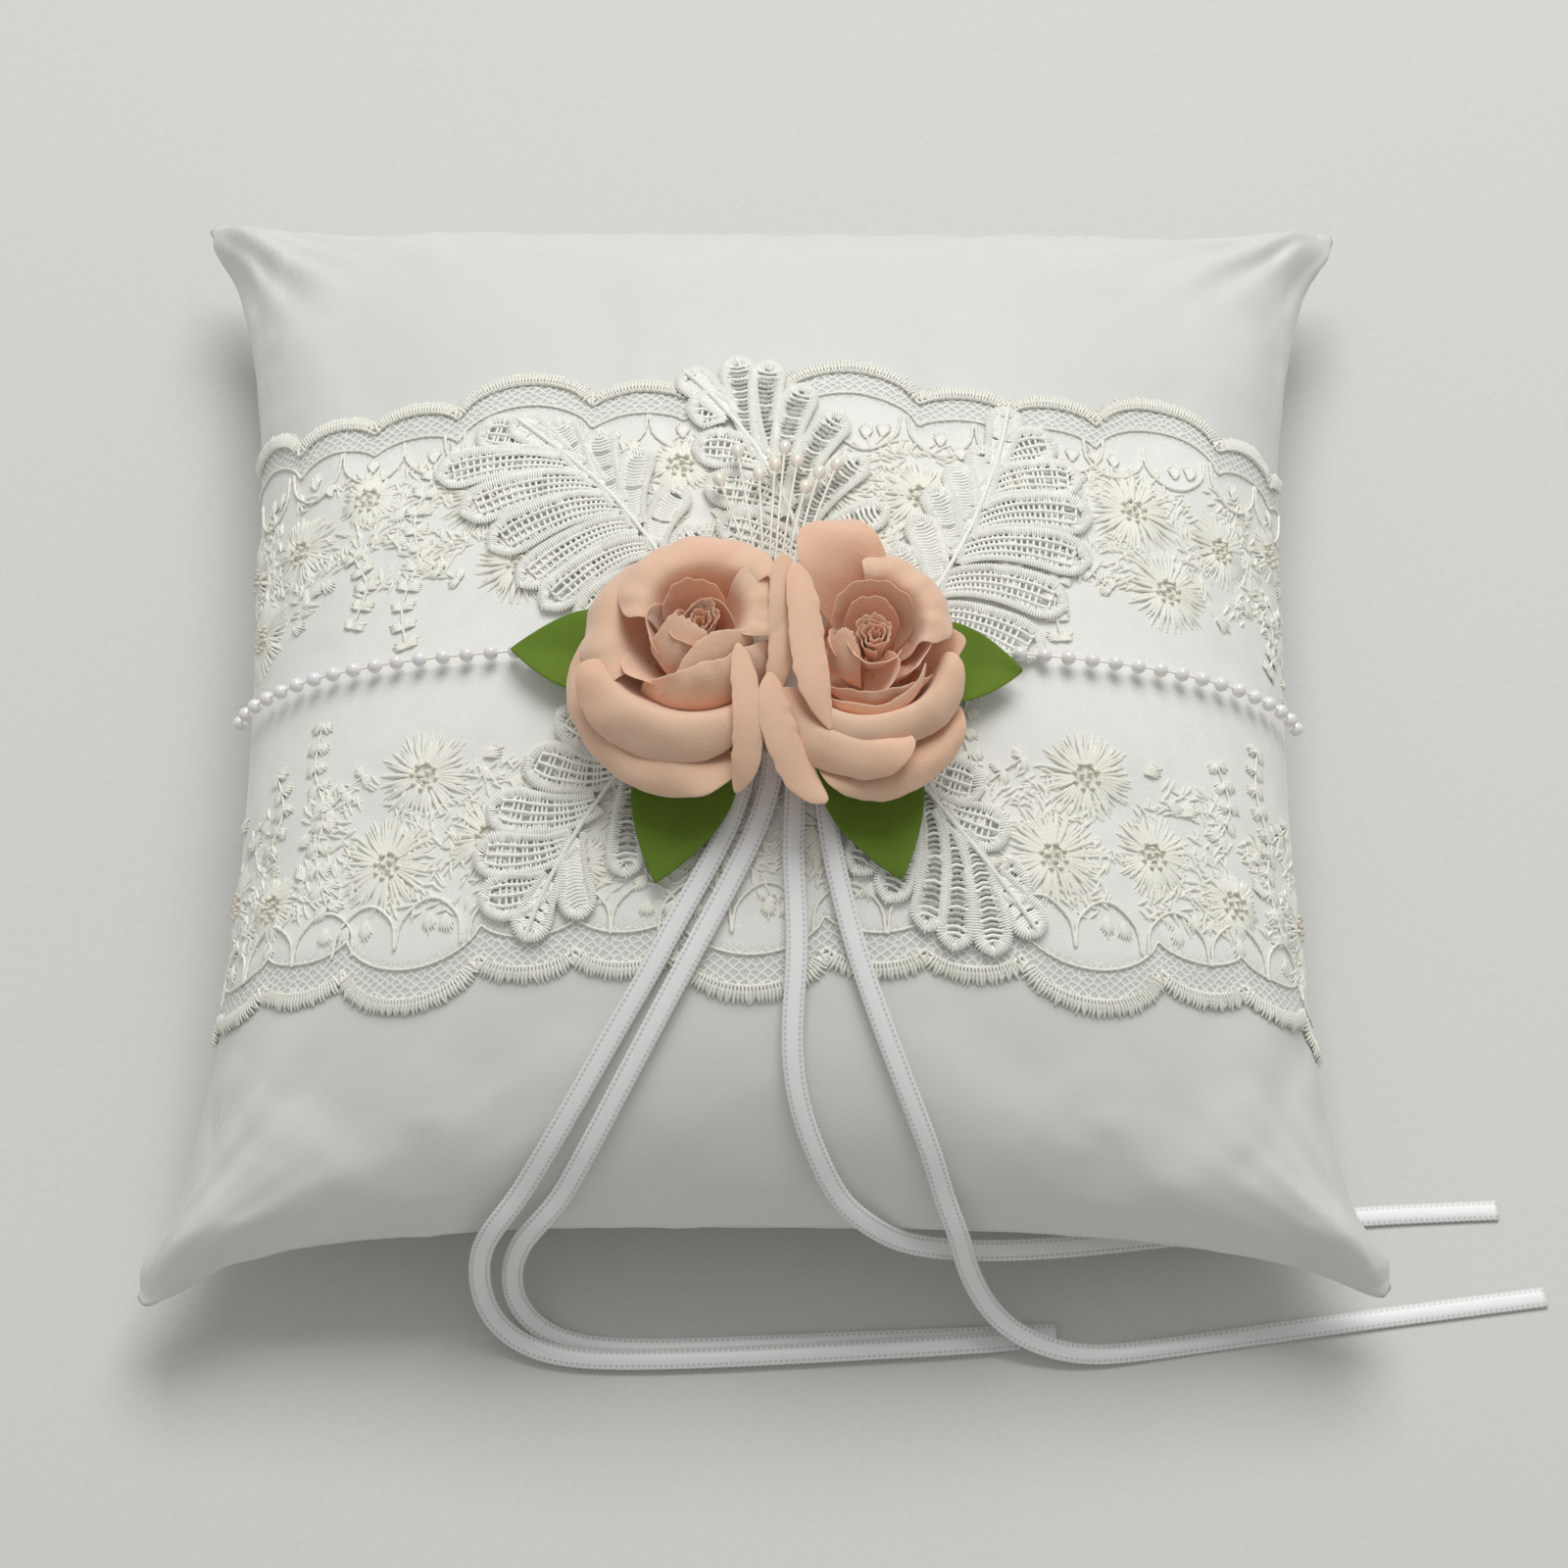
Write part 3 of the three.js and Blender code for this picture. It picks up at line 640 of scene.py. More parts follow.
def over_plan(x, y, lift):
    """Points over a place in plan, a distance out from the satin."""
    x, y = np.atleast_1d(x).astype(float), np.atleast_1d(y).astype(float)
    u, v = x / 90, y / 95  # a first guess, which each round brings nearer
    for _ in range(9):
        spot, out = crown(u, v)
        u = np.clip(u + (x - spot[:, 0]) / 95, -0.999, 0.999)
        v = np.clip(v + (y - spot[:, 1]) / 97, -0.999, 0.999)
    spot, out = crown(u, v)
    return spot + out * np.atleast_1d(lift)[:, None]


# Distance along the cloth from the middle to u, for what wraps down the sides.
wrap_u = np.linspace(0, 1, 200)
wrap_line = crown(wrap_u, np.full(200, -0.1))[0]
wrap_s = np.r_[0, np.cumsum(np.linalg.norm(np.diff(wrap_line, axis=0), axis=1))]
WRAP_HALF = wrap_s[-1]


def over_cloth(s, y, lift):
    """Points on the band: s along the cloth from the middle, y as in plan."""
    s, y = np.atleast_1d(s).astype(float), np.atleast_1d(y).astype(float)
    u = np.interp(np.abs(s), wrap_s, wrap_u) * np.sign(s)
    spot, out = crown(u, y / half_depth(u))
    return spot + out * np.atleast_1d(lift)[:, None]


print("half the width along the cloth", round(WRAP_HALF, 1), "mm")

# %% [markdown]
# ## Four ribbon tails
# Two ribbons, 3.2 mm wide, are folded in half under the roses, so four tails come out
# at the front, run down over the crown, drop off the front seam and lie on the table.
# Each is a flat strip with tiny loops along both edges, laid along the same route that
# the model uses. A strip keeps its width where a bent tube would not.

# %% Routes of the tails: [x, y] on the crown, [x, y, z] free or on the table
RIBBON_WIDTH = 3.2
RIBBON_ON_LACE = 2.1
RIBBON_ROUTES = {
    "outer_left": [
        [-3, -27], [-3.8, -32], [-5.5, -38], [-9, -45], [-13.5, -53], [-18.2, -61.5],
        [-23.5, -70], [-29, -78], [-34.5, -85], [-40, -90.5], [-43.5, -95.4, 30],
        [-45.5, -97, 24], [-46.2, -98.2, 17], [-46, -99.4, 11], [-45.2, -101, 6.5],
        [-43.2, -103, 3.8], [-39.5, -105.2, 2.1], [-34, -106.7, 1.5], [-26, -107.3, 1.3],
        [-12, -107, 1.3], [3, -106.2, 1.3], [19, -105.2, 1.3], [34, -104.2, 1.3], [42, -103.4, 1.3],
    ],
    "inner_left": [
        [1, -27], [0.7, -32], [-1, -38], [-4.4, -45.5], [-9, -54], [-13.5, -62],
        [-18.5, -70.5], [-23.5, -78.5], [-28.5, -85.5], [-33.5, -90.8], [-37, -95.2, 30],
        [-39.3, -96, 24], [-40.7, -96.4, 17], [-41.2, -97, 11], [-41, -98.4, 6],
        [-39.2, -100.6, 2.6], [-35.5, -103, 0.9], [-29, -104.6, 0.5], [-18, -105, 0.5],
        [-2, -104.4, 0.5], [14, -103.6, 0.5], [32, -102.8, 0.5], [48, -102, 0.5],
    ],
    "inner_right": [
        [4.8, -27], [4.6, -34], [4.2, -42], [4.6, -50], [5, -58], [4.4, -66],
        [4.2, -73], [5.6, -80], [9, -86.5], [13, -91], [17.2, -94.6, 30.5],
        [20, -94.9, 25.5], [26.5, -94.6, 20.5], [34, -93.6, 16.5], [42, -92.2, 13.2],
        [51, -90.4, 10.2], [62, -88, 7], [74, -85.4, 3.8], [86, -83, 1.5], [98, -81.4, 0.6],
        [110, -80.6, 0.5], [122, -80, 0.5],
    ],
    "outer_right": [
        [9, -27], [9.2, -34], [10.2, -42], [12, -50], [14.2, -58], [17.2, -66],
        [20.2, -73], [23.6, -80], [26.8, -86], [29, -90.6], [31, -95.6, 30],
        [32, -97.2, 24], [33.2, -98.2, 18], [34.8, -99.2, 12.5], [37, -101, 8],
        [40, -102.9, 5], [44, -104.6, 3.2], [49, -105.8, 2], [55, -106, 1.1],
        [65, -104.6, 0.6], [78, -102.6, 0.5], [94, -100.2, 0.5], [112, -97.6, 0.5], [129, -95.2, 0.5],
    ],
}


def ribbon_route(chosen):
    on_crown = [p for p in chosen if len(p) == 2]
    lying = over_plan([p[0] for p in on_crown], [p[1] for p in on_crown], [RIBBON_ON_LACE] * len(on_crown))
    return smooth_run(np.vstack([lying, [p for p in chosen if len(p) == 3]]), 0.45)


def unit(rows):
    return rows / np.maximum(np.linalg.norm(rows, axis=-1, keepdims=True), 1e-9)


def relaxed(rows, reach):
    """A moving average that lets go of the two ends."""
    weight = np.hanning(2 * reach + 3)[1:-1]
    wide = np.pad(rows, ((reach, reach), (0, 0)), mode="edge")
    soft = np.stack([np.convolve(column, weight / weight.sum(), "valid") for column in wide.T], axis=1)
    place = np.arange(len(rows))
    hold = np.clip(np.minimum(place, place[::-1]) / reach, 0, 1)[:, None]
    return rows * (1 - hold) + soft * hold


# %% Lay the tails
RIBBON_ACROSS = 8
RIBBON_LEAN = 1.6
RIBBON_WALL = 0.28
PICOT = 0.2  # how far the little edge loops stand out
ribbon_length = {}
for name, chosen in RIBBON_ROUTES.items():
    path = relaxed(ribbon_route(chosen), 20)
    along = unit(np.gradient(path, axis=0))
    lean = np.minimum(path[:, 2], SEAM_HEIGHT) / (SEAM_HEIGHT * RIBBON_LEAN)
    face = np.stack([np.zeros(len(path)), -lean, np.ones(len(path))], axis=1)
    face = unit(face - along * (face * along).sum(axis=1, keepdims=True))
    face = unit(relaxed(face, 24))
    across = unit(np.cross(face, along))
    steps = len(path) - 1

    def lay(s, t, path=path, face=face, across=across, steps=steps):
        row = np.round((s + 1) / 2 * steps).astype(int)
        edge = np.abs(t) > 0.99
        stitch = np.isclose(np.abs(t), 0.75)
        out = RIBBON_WIDTH / 2 * t + np.sign(t) * np.where(edge & (row % 2 == 0), PICOT, 0)
        up = np.where(stitch & (row % 2 == 0), -0.09, 0) + 0.12 * (1 - t ** 2)
        return path[row] + across[row] * out[:, None] + face[row] * up[:, None]

    bm = grid_with_uv(steps, RIBBON_ACROSS)
    place_grid(bm, lay, lambda s, t, n=steps: np.stack([s * n * 0.225, t * 1.6], axis=1))
    piece = finish_piece(
        f"ribbon_{name}", mesh_from(bm, f"ribbon_{name}"), RIBBON, [f"ribbon_tail_{name}"])
    thicken(piece, RIBBON_WALL, rounded=False)
    length = float(np.linalg.norm(np.diff(path, axis=0), axis=1).sum())
    ribbon_length[name] = round(length, 1)
print("ribbon lengths in mm", ribbon_length)

# %% [markdown]
# ## The lace band
# The band is a strip of fine net, scalloped along both long edges and caught in the two
# side seams. The net is one sheet that follows the satin and gets its mesh from its finish.
# The cotton embroidery on it is real geometry: daisies of radial stitches, leafy sprigs,
# arches and a thick buttonholed edge, all drawn flat in millimetres and then laid on.

# %% Edges of the band
LACE_BACK, LACE_FRONT, LACE_MIDDLE = 41, -58, -9
LACE_SHIFT = 15.5  # the back edge repeats the front one, this much further right
LACE_SEAT = 0.3
LACE_SIDE = WRAP_HALF - 0.6
REPEAT = 54
SCALLOPS = ((23, 6.5), (15.5, 3), (15.5, 3))
FRONT_START = -14


def scallop(x):
    """How far the front edge swings out at x."""
    along = np.mod(np.asarray(x, dtype=float) - FRONT_START, REPEAT)
    depth, start = np.zeros_like(along), 0
    for width, most in SCALLOPS:
        inside = (along >= start) & (along <= start + width)
        hump = np.sqrt(np.maximum(0, np.sin((along - start) / width * math.pi)))
        depth = np.where(inside, most * hump, depth)
        start += width
    return depth


def front_edge(x):
    return LACE_FRONT - scallop(x)


def back_edge(x):
    return LACE_BACK + scallop(x - LACE_SHIFT)


# %% Net of the band
net_bm = grid_with_uv(250, 70)


def net_flat(s, t):
    x = s * LACE_SIDE
    return x, front_edge(x) + (back_edge(x) - front_edge(x)) * (t + 1) / 2


net_spots = np.array([vert.co[:2] for vert in net_bm.verts])
place_grid(
    net_bm, lambda s, t: over_cloth(*net_flat(s, t), np.full(len(s), LACE_SEAT)),
    lambda s, t: np.stack(net_flat(s, t), axis=1))
border = net_bm.verts.layers.float.new("border")
flat_x, flat_y = net_flat(net_spots[:, 0], net_spots[:, 1])
to_edge = np.minimum(flat_y - front_edge(flat_x), back_edge(flat_x) - flat_y)
for vert, gap in zip(net_bm.verts, to_edge):
    vert[border] = float(np.clip((8 - gap) / 3, 0, 1))
lace = finish_piece("lace_net", mesh_from(net_bm, "lace_net"), NET, ["lace_band"])

# %% Stitches, drawn flat
cotton_runs, knot_runs = [], []
needle = np.random.default_rng(11)


def stitch(runs, flat, heights, thickness):
    runs.append((np.asarray(flat, dtype=float), np.asarray(heights, dtype=float), thickness))


def daisy(x, y, radius):
    count = 62
    phase = needle.uniform(0, 6)
    for k in range(count):
        a = 2 * math.pi * k / count + needle.normal(0, 0.03)
        lobe = 0.84 + 0.16 * abs(math.cos(3 * a + phase))
        reach = radius * lobe * needle.uniform(0.9, 1.08)
        radii = np.array([1.9, (1.9 + reach) / 2, reach])
        turn = a + np.array([0, 0.02, 0.05]) * needle.uniform(-1, 1)
        flat = np.stack([x + radii * np.cos(turn), y + radii * np.sin(turn)], axis=1)
        stitch(cotton_runs, flat, [0.25, 0.35, 0.0], [1.2, 1.8, 1.0])
    for ring, count in ((2.1, 8), (0.8, 3)):
        for k in range(count):
            a = 2 * math.pi * k / count + ring
            spot = np.array([x + ring * math.cos(a), y + ring * math.sin(a)])
            flat = [spot + (-0.45, 0), spot, spot + (0.45, 0)]
            stitch(knot_runs, flat, [0.4, 0.75, 0.4], [0.8, 2.4, 0.8])


def small_leaf(x, y, heading, length):
    for k in range(7):
        share = (k - 3) / 3
        a = heading + share * 0.5
        reach = length * (1 - 0.25 * abs(share)) * needle.uniform(0.88, 1.1)
        start = np.array([x, y])
        way = np.array([math.cos(a), math.sin(a)])
        flat = [start + way * 0.2, start + way * reach * 0.55, start + way * reach]
        stitch(cotton_runs, flat, [0.3, 0.5, 0.1], [0.9, 1.4, 0.7])


def cord_line(points, thickness, lift=0.35, runs=cotton_runs):
    flat = smooth_run(points, 0.75)
    stitch(runs, flat, np.full(len(flat), lift), thickness * wound(len(flat)))


def sprig(points, side_length):
    cord_line(points, 1.3)
    flat = smooth_run(points, 3.6)
    ways = np.arctan2(*np.gradient(flat, axis=0).T[::-1])
    for k, (spot, way) in enumerate(zip(flat, ways)):
        for side in (1, -1):
            small_leaf(*spot, way + side * 1.0, side_length * needle.uniform(0.85, 1.1))


def motif():
    """One repeat of the front half of the band, round the first daisy at (0, -27)."""
    daisy(0, -27, 8.0)
    daisy(-6, -41, 8.6)
    daisy(11.5, -38.5, 7.0)
    daisy(26, -44, 5.5)
    sprig([(-19.5, -14), (-20.5, -22), (-18, -30), (-19, -38), (-16.5, -46)], 3.2)
    sprig([(24, -20), (26.5, -27), (24, -33)], 2.8)
    sprig([(-10.5, -25), (-14, -27.5), (-17, -30)], 2.6)
    for x, y, heading in ((10, -25, 0.4), (14.5, -29, -0.6), (17, -31, 0.7), (5, -50, -1.4),
                          (18.5, -47, -1.8), (-12, -50, -2.0), (33, -41, 2.2), (31, -35, 0.4)):
        small_leaf(x, y, heading, 3.6)
    for x in (-14.5, -3.2, 9.2, 20.8, 32):
        arch = [(x, -55), (x + 0.6, -51), (x + 3.2, -48.2), (x + 5.6, -47.4), (x + 8, -48.2),
                (x + 10.6, -51), (x + 11.2, -55)]
        cord_line(arch, 1.7)
        small_leaf(x + 5.6, -49.6, -math.pi / 2, 3.4)


motif()
one_cotton, one_knots = list(cotton_runs), list(knot_runs)
print("stitches in one motif", len(one_cotton), "and knots", len(one_knots))

# %% Repeat the motif along both halves of the band


def repeated(one):
    for back_half in (False, True):
        for k in range(-2, 3):
            for flat, heights, thickness in one:
                moved = flat + (k * REPEAT - 2, 0)
                if back_half:
                    moved = np.stack(
                        [moved[:, 0] + LACE_SHIFT, 2 * LACE_MIDDLE - moved[:, 1]], axis=1)
                if np.abs(moved[:, 0]).max() < LACE_SIDE - 0.5:
                    yield moved, heights, thickness


def lay_runs(runs, scale=1.0):
    """Lays flat runs on the band, all at once."""
    flat = np.vstack([run[0] for run in runs])
    heights = np.concatenate([run[1] for run in runs])
    laid = over_cloth(flat[:, 0], flat[:, 1], LACE_SEAT + heights)
    ends = np.cumsum([len(run[0]) for run in runs])[:-1]
    return [(part, np.asarray(run[2]) * scale) for part, run in zip(np.split(laid, ends), runs)]


cotton_runs, knot_runs = list(repeated(one_cotton)), list(repeated(one_knots))

# %% Loose filling stitches between the flowers
FILLING_STITCHES = 6500
for _ in range(FILLING_STITCHES):
    x = needle.uniform(-LACE_SIDE + 1.5, LACE_SIDE - 1.5)
    y = LACE_MIDDLE + needle.choice((-1, 1)) * needle.uniform(17, 41)
    if noise.noise((x * 0.13, y * 0.13, 5.0)) < -0.12:
        continue
    a = 6 * noise.noise((x * 0.07, y * 0.07, 1.0)) + needle.normal(0, 0.5)
    way = np.array([math.cos(a), math.sin(a)]) * needle.uniform(0.8, 1.5)
    spot = np.array([x, y])
    stitch(cotton_runs, [spot - way, spot, spot + way], [0.03, 0.2, 0.03], [0.9, 1.7, 0.9])
print("all cotton stitches", len(cotton_runs))

# %% The buttonholed edges, with their fringe of stitch ends
edge_runs = []
for edge, outward in ((front_edge, -1), (back_edge, 1)):
    x = np.arange(-LACE_SIDE, LACE_SIDE, 0.5)
    rim = np.stack([x, edge(x)], axis=1)
    rim = smooth_run(rim, 0.6)
    beads = wound(len(rim), thin=0.7)
    for inward, thick in ((0.5, 2.6), (1.5, 2.2), (6.2, 1.6)):
        line = rim - (0, outward * inward)
        stitch(edge_runs, line, np.full(len(line), 0.2), thick * beads)
    for k in range(0, len(rim) - 1):
        way = rim[min(k + 1, len(rim) - 1)] - rim[max(k - 1, 0)]
        way = np.array([-way[1], way[0]]) / np.linalg.norm(way) * outward
        reach = needle.uniform(0.7, 1.25)
        skew = way[::-1] * (1, -1) * needle.normal(0, 0.2)
        flat = [rim[k] - way * 1.6, rim[k] + way * 0.1, rim[k] + way * reach + skew]
        stitch(edge_runs, flat, [0.5, 0.6, 0.0], [1.0, 1.5, 0.7])
embroidery = finish_piece(
    "lace_embroidery", bend_threads("lace_embroidery", lay_runs(cotton_runs), 0.2, 4), COTTON)
edging = finish_piece(
    "lace_edging", bend_threads("lace_edging", lay_runs(edge_runs), 0.2, 4), COTTON)
knots = finish_piece(
    "lace_knots", bend_threads("lace_knots", lay_runs(knot_runs), 0.2, 6), KNOTS)
print("faces", {piece.name: len(piece.data.polygons) for piece in (embroidery, edging, knots)})

# %% [markdown]
# ## Five guipure leaves
# Guipure is embroidery without a ground: shiny white cords and ladders of thread that
# hold each other. Each applique is a spray of fingers along a curved vein. The cords
# are drawn as lines with beads of thickness, so the outline looks wound, and short
# picots stand out round the rims.

# %% Fingers of one applique
GUIPURE_SEAT = 1.0  # above the satin, on top of the lace


def bow(start, middle, end, count):
    t = np.linspace(0, 1, count)[:, None]
    return (1 - t) ** 2 * np.asarray(start) + 2 * t * (1 - t) * np.asarray(middle) + t ** 2 * np.asarray(end)


def finger(runs, foot, tip, heading, half, laddered):
    """One lobe from its foot on the vein to its rounded tip."""
    foot, tip = np.asarray(foot, dtype=float), np.asarray(tip, dtype=float)
    reach = np.linalg.norm(tip - foot)
    middle = foot + np.asarray(heading) * reach * 0.45
    middle = middle * 0.55 + (foot + tip) / 2 * 0.45
    spine = bow(foot, middle, tip, 25)
    along = unit(np.gradient(spine, axis=0))
    side = np.stack([-along[:, 1], along[:, 0]], axis=1)
    t = np.linspace(0, 1, 25)
    round_from = 1 - min(0.4, half / reach)
    width = np.where(
        t < round_from, half * (0.42 + 0.58 * t / round_from),
        half * np.sqrt(np.maximum(0, 1 - ((t - round_from) / (1 - round_from)) ** 2)))
    left, right = spine + side * width[:, None], spine - side * width[:, None]
    rim = np.vstack([left, right[::-1]])
    line = smooth_run(rim, 0.42)
    count = len(line)
    stitch(runs, line, np.full(count, 0.3), 2.2 * wound(count))
    for k in range(count):
        out = line[min(k + 1, count - 1)] - line[max(k - 1, 0)]
        out = -np.array([-out[1], out[0]]) / max(np.linalg.norm(out), 1e-6)
        at_tip = 0.22 < k / count < 0.78
        reach_out = needle.uniform(0.75, 1.35) if at_tip else needle.uniform(0.4, 0.6)
        flat = [line[k] - out * 0.65, line[k], line[k] + out * reach_out]
        stitch(runs, flat, [0.35, 0.75, 0.15], [0.9, 1.1, 0.8])
    if laddered:
        for k in np.linspace(2, 22, max(5, int(reach / 0.62))):
            k = int(k)
            lean = along[k] * 0.5
            stitch(runs, [left[k] + lean, spine[k], right[k] + lean], [0.15, 0.2, 0.15], [1.6, 1.5, 1.6])
    else:
        for share in (-0.5, 0.0, 0.5):
            inner = spine[:23] + side[:23] * (width[:23] * share)[:, None]
            thin = smooth_run(inner, 0.7)
            stitch(runs, thin, np.full(len(thin), 0.2), 1.7 * wound(len(thin), thin=0.8, thick=1.1))
        for k in np.linspace(3, 22, max(3, int(reach / 1.05))):
            k = int(k)
            stitch(runs, [left[k], spine[k], right[k]], [0.0, 0.05, 0.0], [1.2, 1.2, 1.2])


def applique(name, vein, left_tips, right_tips, laddered_side):
    runs = []
    root, bend, end = (np.array(p, dtype=float) for p in vein)
    spine = bow(root, bend, end, 60)
    ways = unit(np.gradient(spine, axis=0))
    for tips, side in ((left_tips, "left"), (right_tips, "right")):
        for k, tip in enumerate(tips):
            spread = 0.52 if side == laddered_side else 0.74
            share = 0.03 + spread * k / max(1, len(tips) - 1)
            row = int(share * 59)
            near = [np.linalg.norm(np.subtract(tip, other)) for other in tips if other != tip]
            widest = 2.5 if side == laddered_side else 3.5
            half = float(np.clip(min(near) * 0.48, 1.8, widest)) if near else 2.6
            finger(runs, spine[row], tip, ways[row], half, side == laddered_side)
    finger(runs, spine[44], end, ways[44], 2.6, True)
    vein_line = smooth_run(spine, 0.42)
    stitch(runs, vein_line, np.full(len(vein_line), 0.6), 2.4 * wound(len(vein_line)))
    flat = np.vstack([run[0] for run in runs])
    laid = over_plan(flat[:, 0], flat[:, 1], GUIPURE_SEAT + np.concatenate([run[1] for run in runs]))
    ends = np.cumsum([len(run[0]) for run in runs])[:-1]
    laid_runs = [
        (part, np.asarray(run[2]) * np.ones(len(part))) for part, run in zip(np.split(laid, ends), runs)]
    return finish_piece(
        f"guipure_{name}", bend_threads(f"guipure_{name}", laid_runs, 0.2, 6), GUIPURE,
        [f"applique_{name}"])


# %% Sew the five appliques
APPLIQUES = {
    "upper_left": (
        ((-15, 4), (-25, 22), (-42, 38)),
        [(-30, -4), (-36, 0), (-40, 4.5), (-45, 12), (-50, 19.5), (-54.5, 28), (-48, 36)],
        [(-10.5, 13), (-14, 21), (-21, 29), (-28, 34), (-35, 36.5)], "right"),
    "top": (
        ((6, 6), (3, 26), (-14, 45)),
        [(-8, 14), (-10, 21), (-12, 29), (-13, 37)],
        [(19, 17), (15.5, 27), (12, 36), (6, 42), (0, 47), (-5.5, 48)], "right"),
    "upper_right": (
        ((23, -4), (36, 16), (39.5, 40)),
        [(21, 10), (24, 16), (26.5, 22), (30.5, 27), (35, 31.5)],
        [(44, -7), (48, 2), (52, 11), (52.5, 19.5), (51, 27), (47, 34)], "left"),
    "lower_left": (
        ((-17, -23), (-31, -36), (-38, -55)),
        [(-22, -46), (-29, -52)],
        [(-33, -19), (-38, -26), (-44, -33.5), (-46, -41), (-45, -48)], "left"),
    "lower_right": (
        ((17, -24), (30, -36), (43, -53.5)),
        [(34, -31), (38, -38), (41, -45)],
        [(14, -46), (19, -50), (25, -54), (29.5, -56.5), (36, -57)], "right"),
}
for name, (vein, left_tips, right_tips, laddered) in APPLIQUES.items():
    piece = applique(name, vein, left_tips, right_tips, laddered)
    print(piece.name, len(piece.data.polygons), "faces")

# %% [markdown]
# ## Pearls
# Small moulded pearls sit on a thread that crosses the middle of the lace and goes into
# both side seams. Each pearl is a small sphere from the sphere operator, set at an even
# distance along the line. All share one mesh, because they are one string of beads.

# %% String the pearls
PEARL_D, PEARL_PITCH = 2.5, 4.1
PEARL_ON = 1.35 + PEARL_D / 2
line_s = np.linspace(-WRAP_HALF + 1.5, WRAP_HALF - 1.5, 80)
line_y = LACE_MIDDLE + 4.5 * (line_s / WRAP_HALF) ** 2
thread_line = smooth_run(over_cloth(line_s, line_y, np.full(80, PEARL_ON)), 1.0)
thread_run = np.r_[0, np.cumsum(np.linalg.norm(np.diff(thread_line, axis=0), axis=1))]
pearl_bm = bmesh.new()
pearl_count = int(thread_run[-1] // PEARL_PITCH)
for where in (np.arange(pearl_count) + 0.5) * thread_run[-1] / pearl_count:
    spot = [np.interp(where, thread_run, thread_line[:, k]) for k in range(3)]
    bmesh.ops.create_uvsphere(
        pearl_bm, u_segments=16, v_segments=10, radius=PEARL_D / 2 * MM,
        matrix=Matrix.Translation(Vector(spot) * MM))
finish_piece(
    "pearl_beads", mesh_from(pearl_bm, "pearl_beads"), PEARL, ["pearl_string"])
finish_piece(
    "pearl_thread", bend_threads("pearl_thread", [(thread_line, np.ones(len(thread_line)))], 0.2, 6),
    GUIPURE)
print("pearls", pearl_count)

# %% [markdown]
# ## Leaves
# Four leaves are cut from stiffened green cloth and slip under the roses. Each is a
# grid drawn in to points at both ends, with a soft fold along its middle. An outline that
# is filled in would be as quick, but only a grid has the rows that the fold needs.

# %% Cut the leaves
leaf_low = {name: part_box(f"leaf_{name}") for name in ("left", "right", "lower_left", "lower_right")}
LEAF_WALL = 0.35
LEAF_ROOT_Z = max(box[1][2] for box in leaf_low.values()) / MM - 0.2
LEAVES = {
    "left": ((-16, -12), (-41.5, -9), 7.6, 4.9),
    "right": ((17, -12), (41, -12.5), 7.6, 4.9),
    "lower_left": ((-9, -20), (-17.5, -49), 8.4, 3.6),
    "lower_right": ((12, -20), (21.5, -48), 8.4, 3.6),
}
for name, (root, tip, half, clear) in LEAVES.items():
    root, run = np.array(root, dtype=float), np.subtract(tip, root)
    side = np.array([-run[1], run[0]]) / np.linalg.norm(run)
    tip_z = over_plan(tip[0], tip[1], clear)[0, 2]

    def cut(s, t, root=root, run=run, side=side, half=half, tip_z=tip_z):
        along = (s + 1) / 2
        width = 0.05 + (half - 0.05) * np.sin(math.pi * along ** 0.92) ** 0.9
        plan = root + run * along[:, None] + side * (t * width)[:, None]
        z = LEAF_ROOT_Z + (tip_z - LEAF_ROOT_Z) * along ** 1.7
        z += -0.7 * (1 - np.abs(t)) ** 1.5 * np.sin(math.pi * along) + 0.25 * np.sin(along * 7 + t * 2)
        return np.c_[plan, z]

    bm = grid_with_uv(22, 10)
    place_grid(bm, cut, lambda s, t: np.stack([s, t], axis=1))
    piece = finish_piece(
        f"green_leaf_{name}", mesh_from(bm, f"green_leaf_{name}"), LEAF, [f"leaf_{name}"])
    thicken(piece, LEAF_WALL)
print("leaf height at the roots", round(LEAF_ROOT_Z, 1), "mm")

# %% [markdown]
# ## Roses
# A cloth rose is a tight bud with petals wrapped round it, each set a little lower and
# further out, and the outer rims roll back. Each petal here is a grid: one way runs
# round the bud, the other from the foot up its profile and over the rolled rim. The
# list gives every petal its own bearing, spread and profile, because no two are alike.

# %% Petals
ROSE_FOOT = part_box("rose_left_bud")[0][2] / MM


